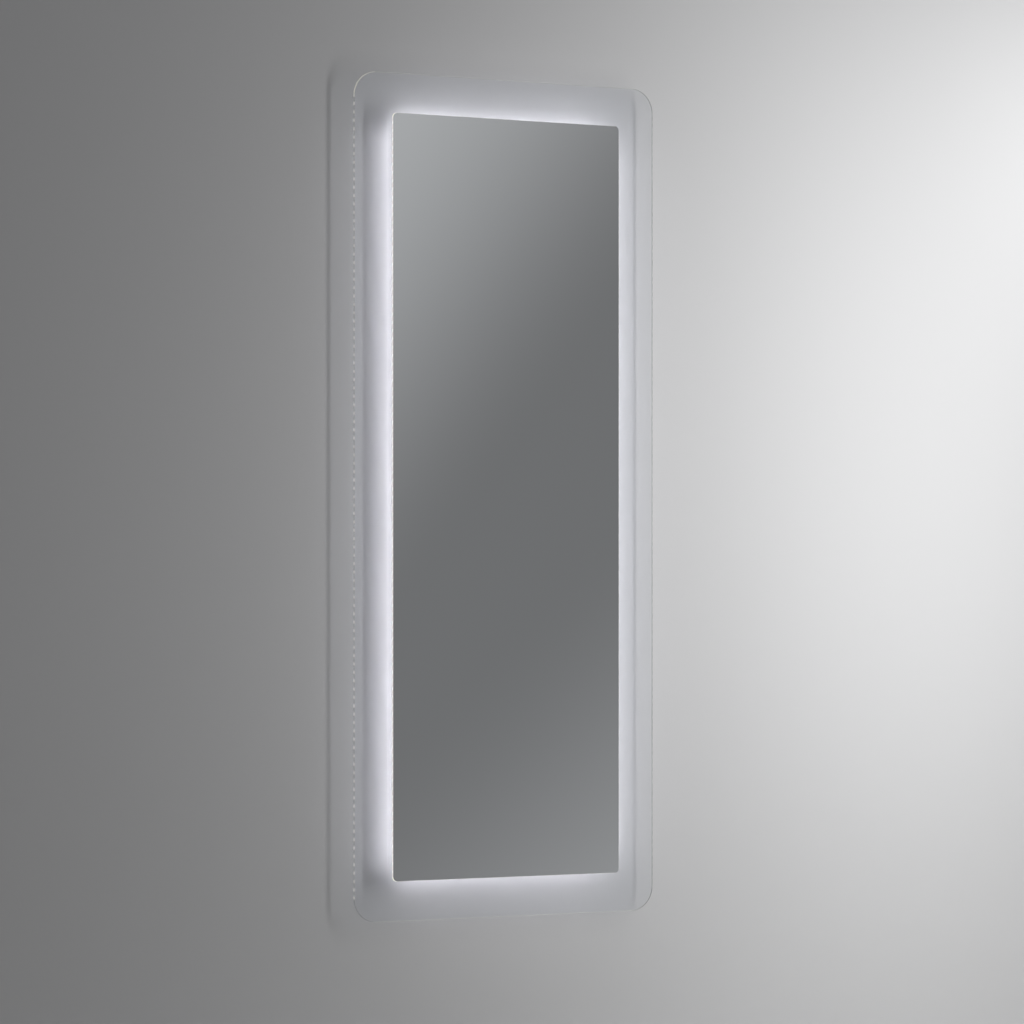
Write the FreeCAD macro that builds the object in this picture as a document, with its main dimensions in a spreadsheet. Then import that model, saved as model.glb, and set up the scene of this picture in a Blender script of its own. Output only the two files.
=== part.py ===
import FreeCAD, Part
import math
import os
import re
import Sketcher

# A tall lighted wall mirror. A clear glass panel with rounded corners stands off the wall on an aluminium
# frame. A smaller mirror plate is bonded to the panel's front, and four LED strips in corner profiles
# round the frame throw their light outwards and onto the wall. The mirror hangs on two hooks.
#
# Millimetres. The wall is the plane y = 0, the front faces -Y, +Z is up and +X is the viewer's right.
# The origin is the middle of the four wall-screw holes in the two hooks.

doc = FreeCAD.newDocument("lighted_mirror")

# Driving dimensions: name, number, what it is.
SIZES = [
    ("panel_width", 700, "clear panel, side to side"),
    ("panel_height", 1700, "clear panel, bottom to top"),
    ("panel_thickness", 8, "clear panel, front to back"),
    ("panel_corner_radius", 50, "clear panel, rounded corners"),
    ("panel_arris", 1, "clear panel, polished edge bevel"),
    ("mirror_side_margin", 85, "panel edge to mirror edge, left and right"),
    ("mirror_end_margin", 80, "panel edge to mirror edge, top and bottom"),
    ("mirror_thickness", 4, "mirror plate, front to back"),
    ("mirror_corner_radius", 10, "mirror plate, rounded corners"),
    ("mirror_arris", 0.5, "mirror plate, edge bevel"),
    ("mirror_tape_thickness", 1, "bond between mirror and panel"),
    ("mirror_tape_width", 25, "bonding tape behind the mirror"),
    ("mirror_tape_inset", 8, "mirror edge to the nearest tape"),
    ("mirror_tape_count", 5, "upright tapes behind the mirror"),
    ("frame_tape_thickness", 1, "bond between panel and frame"),
    ("frame_tape_width", 16, "tape along each frame rail"),
    ("rail_depth", 25, "frame rail, front to back"),
    ("rail_face", 20, "frame rail, seen from behind"),
    ("rail_wall", 1.6, "wall of the frame and cross rails"),
    ("cap_thickness", 1.5, "flange of the plug in a side rail's end"),
    ("cap_plug_length", 8, "how far the plug goes in"),
    ("cap_clearance", 0.15, "plug to the rail's inner wall"),
    ("cross_rail_depth", 15, "cross rail, front to back"),
    ("cross_rail_height", 40, "cross rail, bottom to top"),
    ("lower_rail_rise", 174, "frame's bottom up to the lower cross rail's middle"),
    ("bumper_thickness", 3, "rubber bumper, frame to wall"),
    ("bumper_radius", 8, "rubber bumper"),
    ("bumper_end_gap", 104, "frame's top and bottom to the bumpers' middles"),
    ("profile_inset", 10, "mirror edge to the LED profile's outer lip"),
    ("profile_leg", 16, "LED profile, each leg"),
    ("profile_wall", 1.2, "LED profile, wall"),
    ("seat_sum", 11, "two legs' distances to the LED seat, added"),
    ("strip_width", 10, "LED strip, across"),
    ("strip_thickness", 1, "LED strip, board and coating"),
    ("led_pitch", 16.667, "LED to LED, sixty in a metre"),
    ("led_size", 5, "LED chip, each side"),
    ("led_height", 1.6, "LED chip above the strip"),
    ("strip_end_gap", 5, "least distance from a strip's end to the corner of the LED seats"),
    ("link_radius", 0.8, "lead that links two strips at a corner"),
    ("link_gap", 0.3, "strip's end to the lead that links it"),
    ("hooks_below_top", 350, "panel's top down to the wall screws' middle"),
    ("hook_rail_gap", 24, "hook's and hanger's outer edge to the side rail"),
    ("hook_width", 70, "hook and hanger, side to side"),
    ("hook_sheet", 2.5, "steel of hooks and hangers"),
    ("hook_hole_spacing", 30, "wall screw to wall screw, up and down"),
    ("hook_hole_radius", 3.25, "wall screw hole"),
    ("hook_base_half", 30, "wall screws' middle to the hook base's ends"),
    ("hook_trough", 6, "wall to the back of the hook's lip"),
    ("hook_lip_height", 20, "hook base's top up to the lip's top"),
    ("hook_clearance", 0.3, "hanger lip to hook lip, front to back"),
    ("lip_engagement", 14, "how far the hanger's lip reaches down behind the hook's"),
    ("hanger_base_height", 38, "hanger plate on the cross rail"),
    ("hanger_screw_spacing", 40, "hanger screw to hanger screw"),
    ("bracket_leg", 30, "corner bracket, each leg"),
    ("bracket_sheet", 2.5, "corner bracket, thickness"),
    ("bracket_depth", 12, "corner bracket, front to back"),
    ("bracket_hole", 18, "bracket corner to screw"),
    ("screw_radius", 2, "frame screw, shank"),
    ("screw_head_radius", 3.8, "frame screw, head"),
    ("screw_head_height", 2.4, "frame screw, head"),
    ("screw_length", 6, "frame screw, shank below the head"),
    ("small_screw_radius", 1.5, "plate screw, shank"),
    ("small_head_radius", 2.8, "plate screw, head"),
    ("small_head_height", 1.8, "plate screw, head"),
    ("small_screw_length", 3.6, "plate screw, shank below the head"),
    ("screw_clearance", 0.05, "screw shank to its hole"),
    ("plate_drop", 200, "wall screws' middle down to the equipment plate's middle"),
    ("plate_height", 110, "equipment plate, bottom to top"),
    ("plate_thickness", 2, "equipment plate and its angles"),
    ("plate_gap", 0.3, "equipment plate's ends to the rails"),
    ("plate_tape_spread", 33, "equipment plate's middle line to its tapes, up and down"),
    ("angle_leg", 15, "plate angle, each leg"),
    ("angle_hole", 9, "plate angle's corner to its screws"),
    ("angle_height", 20, "plate angle, bottom to top"),
    ("angle_inset", 25, "plate's middle line to each angle's middle, up and down"),
    ("driver_length", 190, "LED driver case"),
    ("driver_height", 54, "LED driver case, bottom to top"),
    ("driver_depth", 20, "LED driver with its cover, front to back"),
    ("driver_shift", 11.5, "LED driver's middle, right of the middle between left rail and junction box"),
    ("driver_ear", 11, "driver's fixing ear"),
    ("driver_wall", 1.6, "driver case and cover walls"),
    ("cover_rim", 2.5, "driver cover's rim, down into the case"),
    ("cover_clearance", 0.15, "driver cover's rim to the case walls"),
    ("post_radius", 3, "post under the circuit board"),
    ("post_end_inset", 12, "driver case's ends to the posts"),
    ("post_side_inset", 8, "driver case's top and bottom to the posts"),
    ("board_lift", 3, "driver floor to circuit board"),
    ("board_thickness", 1.6, "driver circuit board"),
    ("board_gap", 1.5, "circuit board to the case walls"),
    ("coil_height", 8, "transformer and coils above the circuit board"),
    ("can_height", 9.5, "capacitor cans above the circuit board"),
    ("can_radius", 5, "capacitor cans"),
    ("box_rail_gap", 19, "junction box to the right rail"),
    ("box_width", 80, "junction box, side to side"),
    ("box_height", 64, "junction box, bottom to top"),
    ("box_depth", 21, "junction box with its lid, front to back"),
    ("box_wall", 2, "junction box and lid walls"),
    ("box_boss_radius", 4, "junction box lid-screw boss"),
    ("box_boss_inset", 2.8, "junction box walls to the middle of a boss"),
    ("box_screw_inset", 18, "junction box sides to its fixing screws"),
    ("terminal_width", 34, "terminal block"),
    ("terminal_height", 18, "terminal block, bottom to top"),
    ("terminal_depth", 15, "terminal block, front to back"),
    ("terminal_rise", 12.8, "junction box middle up to the terminal block's"),
    ("terminal_mouth", 2.6, "terminal block, radius of a wire's way in"),
    ("terminal_screw_hole", 1.9, "terminal block, radius of a clamp screw's hole"),
    ("gland_bore", 3.2, "cable gland, bore radius"),
    ("gland_thread", 6, "cable gland, thread radius"),
    ("gland_clearance", 0.05, "gland thread to the box wall and the nut"),
    ("gland_flange", 9, "cable gland, flange and nut radius"),
    ("gland_flange_height", 4, "cable gland flange"),
    ("gland_dome_height", 13, "cable gland dome"),
    ("gland_dome_radius", 7.5, "cable gland dome"),
    ("gland_inside", 8, "gland thread inside the box"),
    ("gland_nut_height", 5, "gland nut"),
    ("mains_lead_radius", 2.5, "lead from junction box to driver"),
    ("led_lead_radius", 1.8, "lead from driver to LED strips"),
    ("lead_clearance", 0.05, "lead to its bush or grommet"),
    ("lead_inside", 6, "length of a lead inside a housing"),
    ("bush_wall", 1.4, "wall of a lead bush"),
    ("bush_flange", 1.2, "flange of a lead bush"),
    ("led_lead_height", 5, "lead's middle behind the frame's front, through the rail"),
    ("led_lead_drop", 70, "driver's lead hole down to the rail's lead hole"),
    ("mains_lead_drop", 22, "driver's lead hole down to the box's lead hole"),
]
ALIASES = [name for name, number, note in SIZES]

# How far a cut runs past the metal.
PAST = 1
# The cross in a screw head: its reach and half its width as shares of the head's radius, and its depth
# as a share of the head's height.
CROSS_REACH = 0.55
CROSS_HALF = 0.13
CROSS_DEPTH = 0.5

# Lengths and places that follow from the sizes.
DERIVED = {
    "middle": "hooks_below_top - panel_height / 2",
    "rail_back": "-bumper_thickness",
    "rail_front": "rail_back - rail_depth",
    "panel_back": "rail_front - frame_tape_thickness",
    "panel_front": "panel_back - panel_thickness",
    "mirror_back": "panel_front - mirror_tape_thickness",
    "mirror_width": "panel_width - 2 * mirror_side_margin",
    "mirror_height": "panel_height - 2 * mirror_end_margin",
    "frame_width": "mirror_width - 2 * profile_inset - 2 * profile_leg",
    "frame_height": "mirror_height - 2 * profile_inset - 2 * profile_leg",
    "inner_width": "frame_width - 2 * rail_face",
    "inner_height": "frame_height - 2 * rail_face",
    "hook_spacing": "inner_width - 2 * hook_rail_gap - hook_width",
    "cross_back": "rail_front + cross_rail_depth",
    "cross_middle": "rail_front + cross_rail_depth / 2",
    "lip_top": "hook_base_half + hook_lip_height",
    "upper_rail": "lip_top + cross_rail_height / 2",
    "lower_rail": "middle - frame_height / 2 + lower_rail_rise",
    "seat_back_sum": "seat_sum - profile_wall * sqrt(2)",
    "strip_half": "strip_width / 2 / sqrt(2)",
    "strip_rise": "strip_thickness / sqrt(2)",
    "led_half": "led_size / 2 / sqrt(2)",
    "led_rise": "led_height / sqrt(2)",
    "side_led_count": "floor((frame_height + seat_sum - 2 * strip_end_gap) / led_pitch)",
    "end_led_count": "floor((frame_width + seat_sum - 2 * strip_end_gap) / led_pitch)",
    "link_seat": "seat_sum / 2 + link_radius",
    "plate_back": "rail_front + plate_thickness",
    "plate_middle": "-plate_drop",
    "driver_middle": "driver_shift - (box_rail_gap + box_width) / 2",
    "driver_back": "plate_back + driver_depth",
    "box_middle": "inner_width / 2 - box_rail_gap - box_width / 2",
    "box_back": "plate_back + box_depth",
    "driver_lead_y": "plate_back + driver_depth / 2",
    "gland_y": "plate_back + box_depth / 2",
    "box_bottom": "plate_middle - box_height / 2",
}


def bound(formula):
    """The formula as an expression: sizes are looked up in the sheet, derived lengths are written out."""

    def swap(match):
        word = match.group(0)
        if word in DERIVED:
            return "(" + bound(DERIVED[word]) + ")"
        if word in ALIASES:
            return "sizes." + word
        return word

    return re.sub(r"[a-z][a-z_]*", swap, str(formula))


def value(formula):
    """The number that a formula comes to."""
    return float(sheet.evalExpression(bound(formula)))


def make_sheet():
    """The spreadsheet of driving dimensions."""
    made = doc.addObject("Spreadsheet::Sheet", "sizes")
    for row, (alias, number, note) in enumerate(SIZES, start=1):
        made.set(f"A{row}", note)
        made.set(f"B{row}", str(number))
        made.setAlias(f"B{row}", alias)
    doc.recompute()
    return made


sheet = make_sheet()
kept = {}


# ------------------------------------------------------------------ building helpers


def keep(label, piece):
    """Names a finished piece and puts it on the list that is written out."""
    piece.Label = label
    kept[label] = piece
    return piece


def new_body(name):
    """An empty body. It may hold several separate solids."""
    body = doc.addObject("PartDesign::Body", name)
    body.AllowCompound = True
    return body


def new_sketch(body, role, offset="0"):
    """A sketch on one of the body's own origin planes, moved along that plane's normal."""
    plane = [item for item in body.Origin.OriginFeatures if item.Role == role][0]
    sketch = body.newObject("Sketcher::SketchObject", "sketch")
    sketch.AttachmentSupport = (plane, "")
    sketch.MapMode = "FlatFace"
    sketch.setExpression("AttachmentOffset.Base.z", bound(offset))
    return sketch


def tie_point(sketch, geometry, position, across, up):
    """Ties one point of a sketch to its two formulas, measured from the sketch's origin."""
    for kind, formula in (("DistanceX", across), ("DistanceY", up)):
        number = value(formula)
        index = sketch.addConstraint(Sketcher.Constraint(kind, -1, 1, geometry, position, number))
        sketch.setExpression(f"Constraints[{index}]", bound(formula))


def add_outline(sketch, corners):
    """A closed outline of straight sides. Each corner is a pair of formulas."""
    first = sketch.GeometryCount
    points = [FreeCAD.Vector(value(across), value(up), 0) for across, up in corners]
    count = len(points)
    for i in range(count):
        sketch.addGeometry(Part.LineSegment(points[i], points[(i + 1) % count]), False)
    for i in range(count):
        following = first + (i + 1) % count
        sketch.addConstraint(Sketcher.Constraint("Coincident", first + i, 2, following, 1))
    for i, (across, up) in enumerate(corners):
        tie_point(sketch, first + i, 1, across, up)


def add_rectangle(sketch, width, height, across="0", up="0"):
    """A rectangle about a middle point."""
    low_x, high_x = f"{across} - ({width}) / 2", f"{across} + ({width}) / 2"
    low_y, high_y = f"{up} - ({height}) / 2", f"{up} + ({height}) / 2"
    add_outline(sketch, [(low_x, low_y), (high_x, low_y), (high_x, high_y), (low_x, high_y)])


def add_circle(sketch, radius, across="0", up="0"):
    """A circle about a middle point."""
    middle = FreeCAD.Vector(value(across), value(up), 0)
    geometry = sketch.addGeometry(Part.Circle(middle, FreeCAD.Vector(0, 0, 1), value(radius)), False)
    tie_point(sketch, geometry, 3, across, up)
    index = sketch.addConstraint(Sketcher.Constraint("Radius", geometry, value(radius)))
    sketch.setExpression(f"Constraints[{index}]", bound(radius))


def extrude(body, sketch, length, cut=False, both_ways=True, reverse=False):
    """Pads the sketch, or cuts with it, and returns the feature."""
    feature = body.newObject("PartDesign::Pocket" if cut else "PartDesign::Pad", "extrusion")
    feature.Profile = sketch
    feature.setExpression("Length", bound(length))
    feature.SideType = "Symmetric" if both_ways else "One side"
    feature.Reversed = reverse
    sketch.Visibility = False
    doc.recompute()
    return feature


def place(piece, x="0", y="0", z="0"):
    """Ties a piece's place to three formulas."""
    for axis, formula in (("x", x), ("y", y), ("z", z)):
        piece.setExpression(f"Placement.Base.{axis}", bound(formula))
    return piece


def edges_where(feature, test):
    """The names of the feature's edges whose ends and middle all pass a test on their points."""
    names = []
    for number, edge in enumerate(feature.Shape.Edges, start=1):
        middle = edge.valueAt((edge.FirstParameter + edge.LastParameter) / 2)
        points = [vertex.Point for vertex in edge.Vertexes] + [middle]
        if all(test(point) for point in points):
            names.append(f"Edge{number}")
    return names


def finish_edges(body, kind, feature, names, size):
    """Rounds or bevels the named edges."""
    done = body.newObject("PartDesign::" + kind, kind.lower())
    done.Base = (feature, names)
    done.setExpression("Radius" if kind == "Fillet" else "Size", bound(size))
    doc.recompute()
    return done


def block(name, width, depth, height):
    """A plain block about the body's origin."""
    body = new_body(name)
    sketch = new_sketch(body, "XY_Plane")
    add_rectangle(sketch, width, depth)
    extrude(body, sketch, height)
    return body


def group(label, template, places):
    """Separate copies of one piece, kept together."""
    copies = []
    for where in places:
        copy = template.Shape.copy()
        copy.Placement = where.multiply(copy.Placement)
        copies.append(copy)
    made = doc.addObject("Part::Feature", label)
    made.Shape = Part.makeCompound(copies)
    return keep(label, made)


def at(x, y, z, axis=(0, 1, 0), degrees=0):
    """A place, with a turn about an axis. The coordinates are formulas."""
    where = FreeCAD.Vector(value(x), value(y), value(z))
    return FreeCAD.Placement(where, FreeCAD.Rotation(FreeCAD.Vector(*axis), degrees))


def drilled(label, piece, cutters):
    """The piece with the cutters' holes in it. A cutter that cuts nothing stops the build."""
    tool = doc.addObject("Part::Feature", "holes")
    tool.Shape = Part.makeCompound(cutters)
    made = doc.addObject("Part::Cut", label)
    made.Base = piece
    made.Tool = tool
    doc.recompute()
    for cutter in cutters:
        if piece.Shape.common(cutter).Volume < 1e-3:
            raise ValueError(f"a hole misses {label}")
    return keep(label, made)


def hole_along(places, radius, length):
    """Round cutters that run both ways from each place along its own Z axis."""
    cutters = []
    for where in places:
        start = FreeCAD.Vector(0, 0, -value(length))
        cutter = Part.makeCylinder(value(radius), 2 * value(length), start)
        cutter.Placement = where
        cutters.append(cutter)
    return cutters


# ------------------------------------------------------------------ glass


def glass_plate(label, width, height, thickness, corner_radius, arris, back):
    """A glass plate with rounded corners and bevelled edges. Its back face lies at y = back."""
    body = new_body(label)
    sketch = new_sketch(body, "XZ_Plane")
    add_rectangle(sketch, width, height)
    slab = extrude(body, sketch, thickness, both_ways=False)
    half_width, half_height = value(width) / 2, value(height) / 2

    def at_corner(point):
        return abs(abs(point.x) - half_width) < 0.01 and abs(abs(point.z) - half_height) < 0.01

    rounded = finish_edges(body, "Fillet", slab, edges_where(slab, at_corner), corner_radius)
    depth = value(thickness)

    def on_a_face(point):
        return abs(point.y) < 0.01 or abs(point.y + depth) < 0.01

    finish_edges(body, "Chamfer", rounded, edges_where(rounded, on_a_face), arris)
    place(body, y=back, z="middle")
    return keep(label, body)


def make_glass():
    """The clear panel, the mirror plate and the tapes between them."""
    glass_plate(
        "clear_panel", "panel_width", "panel_height", "panel_thickness",
        "panel_corner_radius", "panel_arris", "panel_back",
    )
    glass_plate(
        "mirror_plate", "mirror_width", "mirror_height", "mirror_thickness",
        "mirror_corner_radius", "mirror_arris", "mirror_back",
    )
    tape = block(
        "mirror_tape", "mirror_tape_width", "mirror_tape_thickness",
        "mirror_height - 2 * mirror_tape_inset",
    )
    count = round(value("mirror_tape_count"))
    reach = "(mirror_width / 2 - mirror_tape_inset - mirror_tape_width / 2)"
    places = []
    for i in range(count):
        share = 2 * i / (count - 1) - 1
        places.append(at(f"{share} * {reach}", "panel_front - mirror_tape_thickness / 2", "middle"))
    group("mirror_tapes", tape, places)


# ------------------------------------------------------------------ frame


def rail_tube(name, width, depth, length, along):
    """A rectangular tube about the body's origin. along is Z, or X with the width upright."""
    body = new_body(name)
    role = "XY_Plane" if along == "Z" else "YZ_Plane"
    size = (width, depth) if along == "Z" else (depth, width)
    sketch = new_sketch(body, role)
    add_rectangle(sketch, size[0], size[1])
    add_rectangle(sketch, f"({size[0]}) - 2 * rail_wall", f"({size[1]}) - 2 * rail_wall")
    extrude(body, sketch, length)
    return body


def screw(name, shank_radius, head_radius, head_height, length):
    """A pan-head screw. Its head stands on z = 0 and its shank points down. The head has a cross."""
    body = new_body(name)
    sketch = new_sketch(body, "XY_Plane")
    add_circle(sketch, head_radius)
    head = extrude(body, sketch, head_height, both_ways=False)
    top = value(head_height)
    rim = edges_where(head, lambda point: abs(point.z - top) < 0.01)
    finish_edges(body, "Fillet", head, rim, f"({head_height}) / 2")
    shank = new_sketch(body, "XY_Plane")
    add_circle(shank, shank_radius)
    extrude(body, shank, length, both_ways=False, reverse=True)
    recess = new_sketch(body, "XY_Plane", head_height)
    arm, half = f"({head_radius}) * {CROSS_REACH}", f"({head_radius}) * {CROSS_HALF}"
    corners = []
    for turn in range(4):
        for across, up in ((arm, "-" + half), (arm, half), (half, half)):
            for step in range(turn):
                across, up = f"-({up})", across
            corners.append((across, up))
    add_outline(recess, corners)
    extrude(body, recess, f"({head_height}) * {CROSS_DEPTH}", cut=True, both_ways=False)
    return body


def bracket_corners():
    """Where each corner bracket's inner corner sits, with its turn: the frame's, then the cross rails'."""
    left, right = "-inner_width / 2", "inner_width / 2"
    low, high = "middle - inner_height / 2", "middle + inner_height / 2"
    under, over = "upper_rail - cross_rail_height / 2", "lower_rail + cross_rail_height / 2"
    spots = [
        (left, low, 0), (left, high, 90), (right, high, 180), (right, low, 270),
        (left, under, 90), (right, under, 180), (left, over, 0), (right, over, 270),
    ]
    return [(at(x, "cross_middle", z, degrees=turn), turn) for x, z, turn in spots]


def bracket_screws():
    """Where each bracket's two screws sit: the one in its level leg, then the one in its upright leg."""
    along_x_leg = at("bracket_hole", "0", "bracket_sheet")
    along_z_leg = at("bracket_sheet", "0", "bracket_hole", degrees=90)
    pairs = []
    for corner, turn in bracket_corners():
        pair = [corner.multiply(along_x_leg), corner.multiply(along_z_leg)]
        # A quarter turn stands the first leg up and lays the second one down.
        pairs.append(pair if turn % 180 == 0 else pair[::-1])
    return pairs


def make_bracket():
    """An L-shaped bracket with its inner corner at the origin and its legs along +X and +Z."""
    body = new_body("bracket")
    sketch = new_sketch(body, "XZ_Plane")
    leg, sheet_metal = "bracket_leg", "bracket_sheet"
    add_outline(sketch, [
        ("0", "0"), (leg, "0"), (leg, sheet_metal),
        (sheet_metal, sheet_metal), (sheet_metal, leg), ("0", leg),
    ])
    extrude(body, sketch, "bracket_depth")
    for role, offset in (("XY_Plane", "bracket_sheet / 2"), ("YZ_Plane", "bracket_sheet / 2")):
        hole = new_sketch(body, role, offset)
        across, up = ("bracket_hole", "0") if role == "XY_Plane" else ("0", "bracket_hole")
        add_circle(hole, "screw_radius + screw_clearance", across, up)
        extrude(body, hole, "2 * bracket_sheet", cut=True)
    return body


def hanger_screws():
    """Where the hangers' screws sit on the upper cross rail. They are driven from the wall's side."""
    places = []
    for side in (-1, 1):
        for end in (-1, 1):
            x = f"{side} * hook_spacing / 2 + {end} * hanger_screw_spacing / 2"
            z = "lip_top + hook_sheet + hanger_base_height / 2"
            places.append(at(x, "cross_back + hook_sheet", z, (1, 0, 0), -90))
    return places


def angle_places():
    """Where the plate angles sit: side and z."""
    places = []
    for side in (-1, 1):
        for end in (-1, 1):
            places.append((side, f"plate_middle + {end} * angle_inset"))
    return places


def angle_rail_screws():
    """The plate angles' screws into the side rails."""
    places = []
    for side, z in angle_places():
        x = f"{side} * (inner_width / 2 - plate_thickness)"
        places.append(at(x, "plate_back + angle_hole", z, degrees=-90 * side))
    return places


def angle_plate_screws():
    """The plate angles' screws into the equipment plate."""
    places = []
    for side, z in angle_places():
        x = f"{side} * (inner_width / 2 - angle_hole)"
        places.append(at(x, "plate_back + plate_thickness", z, (1, 0, 0), -90))
    return places


def driver_screws():
    """The driver's screws through its two ears."""
    places = []
    for side in (-1, 1):
        x = f"driver_middle + {side} * (driver_length / 2 + driver_ear / 2)"
        places.append(at(x, "plate_back + driver_wall", "plate_middle", (1, 0, 0), -90))
    return places


def box_screws():
    """The junction box's screws through its floor."""
    places = []
    for side in (-1, 1):
        x = f"box_middle + {side} * (box_width / 2 - box_screw_inset)"
        places.append(at(x, "plate_back + box_wall", "box_bottom + box_screw_inset", (1, 0, 0), -90))
    return places


def led_lead_way(x):
    """Where the LED lead passes level through the left rail or its LED profile, at the given x."""
    return at(x, "rail_front + led_lead_height", "plate_middle - led_lead_drop", degrees=90)


def make_frame(frame_screw):
    """Four frame rails, two cross rails, the brackets that join them, and their screws."""
    hole = "screw_radius + screw_clearance"
    reach = "screw_length"
    level = hole_along([pair[0] for pair in bracket_screws()], hole, reach)
    upright = hole_along([pair[1] for pair in bracket_screws()], hole, reach)
    in_angles = hole_along(angle_rail_screws(), hole, reach)
    in_hangers = hole_along(hanger_screws(), hole, reach)
    lead_way = hole_along([led_lead_way("-inner_width / 2")], "led_lead_radius + bush_wall", "rail_wall * 2")
    bare_way = "led_lead_radius + lead_clearance"
    lead_exit = hole_along([led_lead_way("-frame_width / 2")], bare_way, "rail_wall * 2")
    side_length = "frame_height - 2 * cap_thickness"
    sides = (
        ("frame_rail_left", -1, (0, 1, 4, 6), lead_way + lead_exit + in_angles[0:2]),
        ("frame_rail_right", 1, (2, 3, 5, 7), in_angles[2:4]),
    )
    for label, side, corners, more in sides:
        tube = rail_tube(label + "_tube", "rail_face", "rail_depth", side_length, "Z")
        place(tube, f"{side} * (frame_width - rail_face) / 2", "rail_front + rail_depth / 2", "middle")
        drilled(label, tube, [upright[i] for i in corners] + more)
    ends = (("frame_rail_bottom", -1, (0, 3)), ("frame_rail_top", 1, (1, 2)))
    for label, side, corners in ends:
        tube = rail_tube(label + "_tube", "rail_face", "rail_depth", "inner_width", "X")
        z = f"middle + {side} * (frame_height - rail_face) / 2"
        place(tube, y="rail_front + rail_depth / 2", z=z)
        drilled(label, tube, [level[i] for i in corners])
    crosses = (
        ("cross_rail_upper", "upper_rail", [level[4], level[5]] + in_hangers),
        ("cross_rail_lower", "lower_rail", [level[6], level[7]]),
    )
    for label, z, cutters in crosses:
        tube = rail_tube(label + "_tube", "cross_rail_height", "cross_rail_depth", "inner_width", "X")
        place(tube, y="cross_middle", z=z)
        drilled(label, tube, cutters)
    group("corner_brackets", make_bracket(), [corner for corner, turn in bracket_corners()])
    group("bracket_screws", frame_screw, [place for pair in bracket_screws() for place in pair])
    make_caps()
    make_bumpers()
    make_frame_tapes()


def make_caps():
    """The plugs that close the side rails' four ends."""
    body = block("cap", "rail_face", "rail_depth", "cap_thickness")
    plug = new_sketch(body, "XY_Plane")
    gap = "2 * (rail_wall + cap_clearance)"
    add_rectangle(plug, f"rail_face - {gap}", f"rail_depth - {gap}")
    extrude(body, plug, "cap_plug_length + cap_thickness / 2", both_ways=False, reverse=True)
    places = []
    for side in (-1, 1):
        for end in (-1, 1):
            x = f"{side} * (frame_width - rail_face) / 2"
            z = f"middle + {end} * (frame_height - cap_thickness) / 2"
            places.append(at(x, "rail_front + rail_depth / 2", z, degrees=0 if end > 0 else 180))
    group("rail_end_caps", body, places)


def make_bumpers():
    """Four rubber bumpers between the side rails and the wall."""
    body = new_body("bumper")
    sketch = new_sketch(body, "XY_Plane")
    add_circle(sketch, "bumper_radius")
    pad = extrude(body, sketch, "bumper_thickness", both_ways=False)
    top = value("bumper_thickness")
    rim = edges_where(pad, lambda point: abs(point.z - top) < 0.01)
    finish_edges(body, "Fillet", pad, rim, "bumper_thickness / 3")
    places = []
    for side in (-1, 1):
        for end in (-1, 1):
            x = f"{side} * (frame_width - rail_face) / 2"
            z = f"middle + {end} * (frame_height / 2 - bumper_end_gap)"
            places.append(at(x, "rail_back", z, (1, 0, 0), -90))
    group("wall_bumpers", body, places)


def make_frame_tapes():
    """The tapes that bond the rails to the panel's back."""
    y = "panel_back + frame_tape_thickness / 2"
    width, thickness = "frame_tape_width", "frame_tape_thickness"
    upright = block("upright_tape", width, thickness, "frame_height - 2 * rail_face")
    places = [at(f"{side} * (frame_width - rail_face) / 2", y, "middle") for side in (-1, 1)]
    group("side_rail_tapes", upright, places)
    level = block("level_tape", "frame_width - 4 * cap_thickness", thickness, width)
    places = [at("0", y, f"middle + {end} * (frame_height - rail_face) / 2") for end in (-1, 1)]
    group("end_rail_tapes", level, places)
    cross = block("cross_tape", "inner_width - 2 * rail_face", thickness, width)
    group("cross_rail_tapes", cross, [at("0", y, "upper_rail"), at("0", y, "lower_rail")])
    places = [at("0", y, f"plate_middle + {end} * plate_tape_spread") for end in (-1, 1)]
    group("plate_tapes", cross, places)


# ------------------------------------------------------------------ light

# Each side of the light is built as the left one and turned about the panel's middle.
LIGHT_SIDES = (
    ("left", 0, "frame_width / 2", "frame_height / 2 + profile_leg", "side_led_count"),
    ("top", 90, "frame_height / 2", "frame_width / 2 + profile_leg", "end_led_count"),
    ("right", 180, "frame_width / 2", "frame_height / 2 + profile_leg", "side_led_count"),
    ("bottom", 270, "frame_height / 2", "frame_width / 2 + profile_leg", "end_led_count"),
)


def section_corner(span, outward, wallward):
    """A corner of the light's cross-section, from the distances out of the frame and towards the wall."""
    return (f"-({span}) - ({outward})", f"rail_front + ({wallward})")


def make_light_profile(side, span, half_length):
    """The aluminium corner profile: two legs, a slanted LED seat and a closed channel, mitred ends."""
    body = new_body("led_profile_" + side)
    sketch = new_sketch(body, "XY_Plane")
    leg, wall, seat, back = "profile_leg", "profile_wall", "seat_sum", "seat_back_sum"
    outer = [
        ("0", "0"), (leg, "0"), (leg, wall), (f"{seat} - {wall}", wall),
        (wall, f"{seat} - {wall}"), (wall, leg), ("0", leg),
    ]
    channel = [(wall, wall), (f"{back} - {wall}", wall), (wall, f"{back} - {wall}")]
    for outline in (outer, channel):
        add_outline(sketch, [section_corner(span, outward, wallward) for outward, wallward in outline])
    extrude(body, sketch, f"2 * ({half_length})")
    for end in ("", "-"):
        mitre = new_sketch(body, "XZ_Plane", "0 - rail_front")
        inner, outer_edge = f"-({span}) + {PAST}", f"-({span}) - profile_leg - {PAST}"
        add_outline(mitre, [
            (inner, f"{end}({half_length} - profile_leg - {PAST})"),
            (outer_edge, f"{end}({half_length} + {PAST})"),
            (inner, f"{end}({half_length} + {PAST})"),
        ])
        extrude(body, mitre, "4 * profile_leg", cut=True)
    return body


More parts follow.
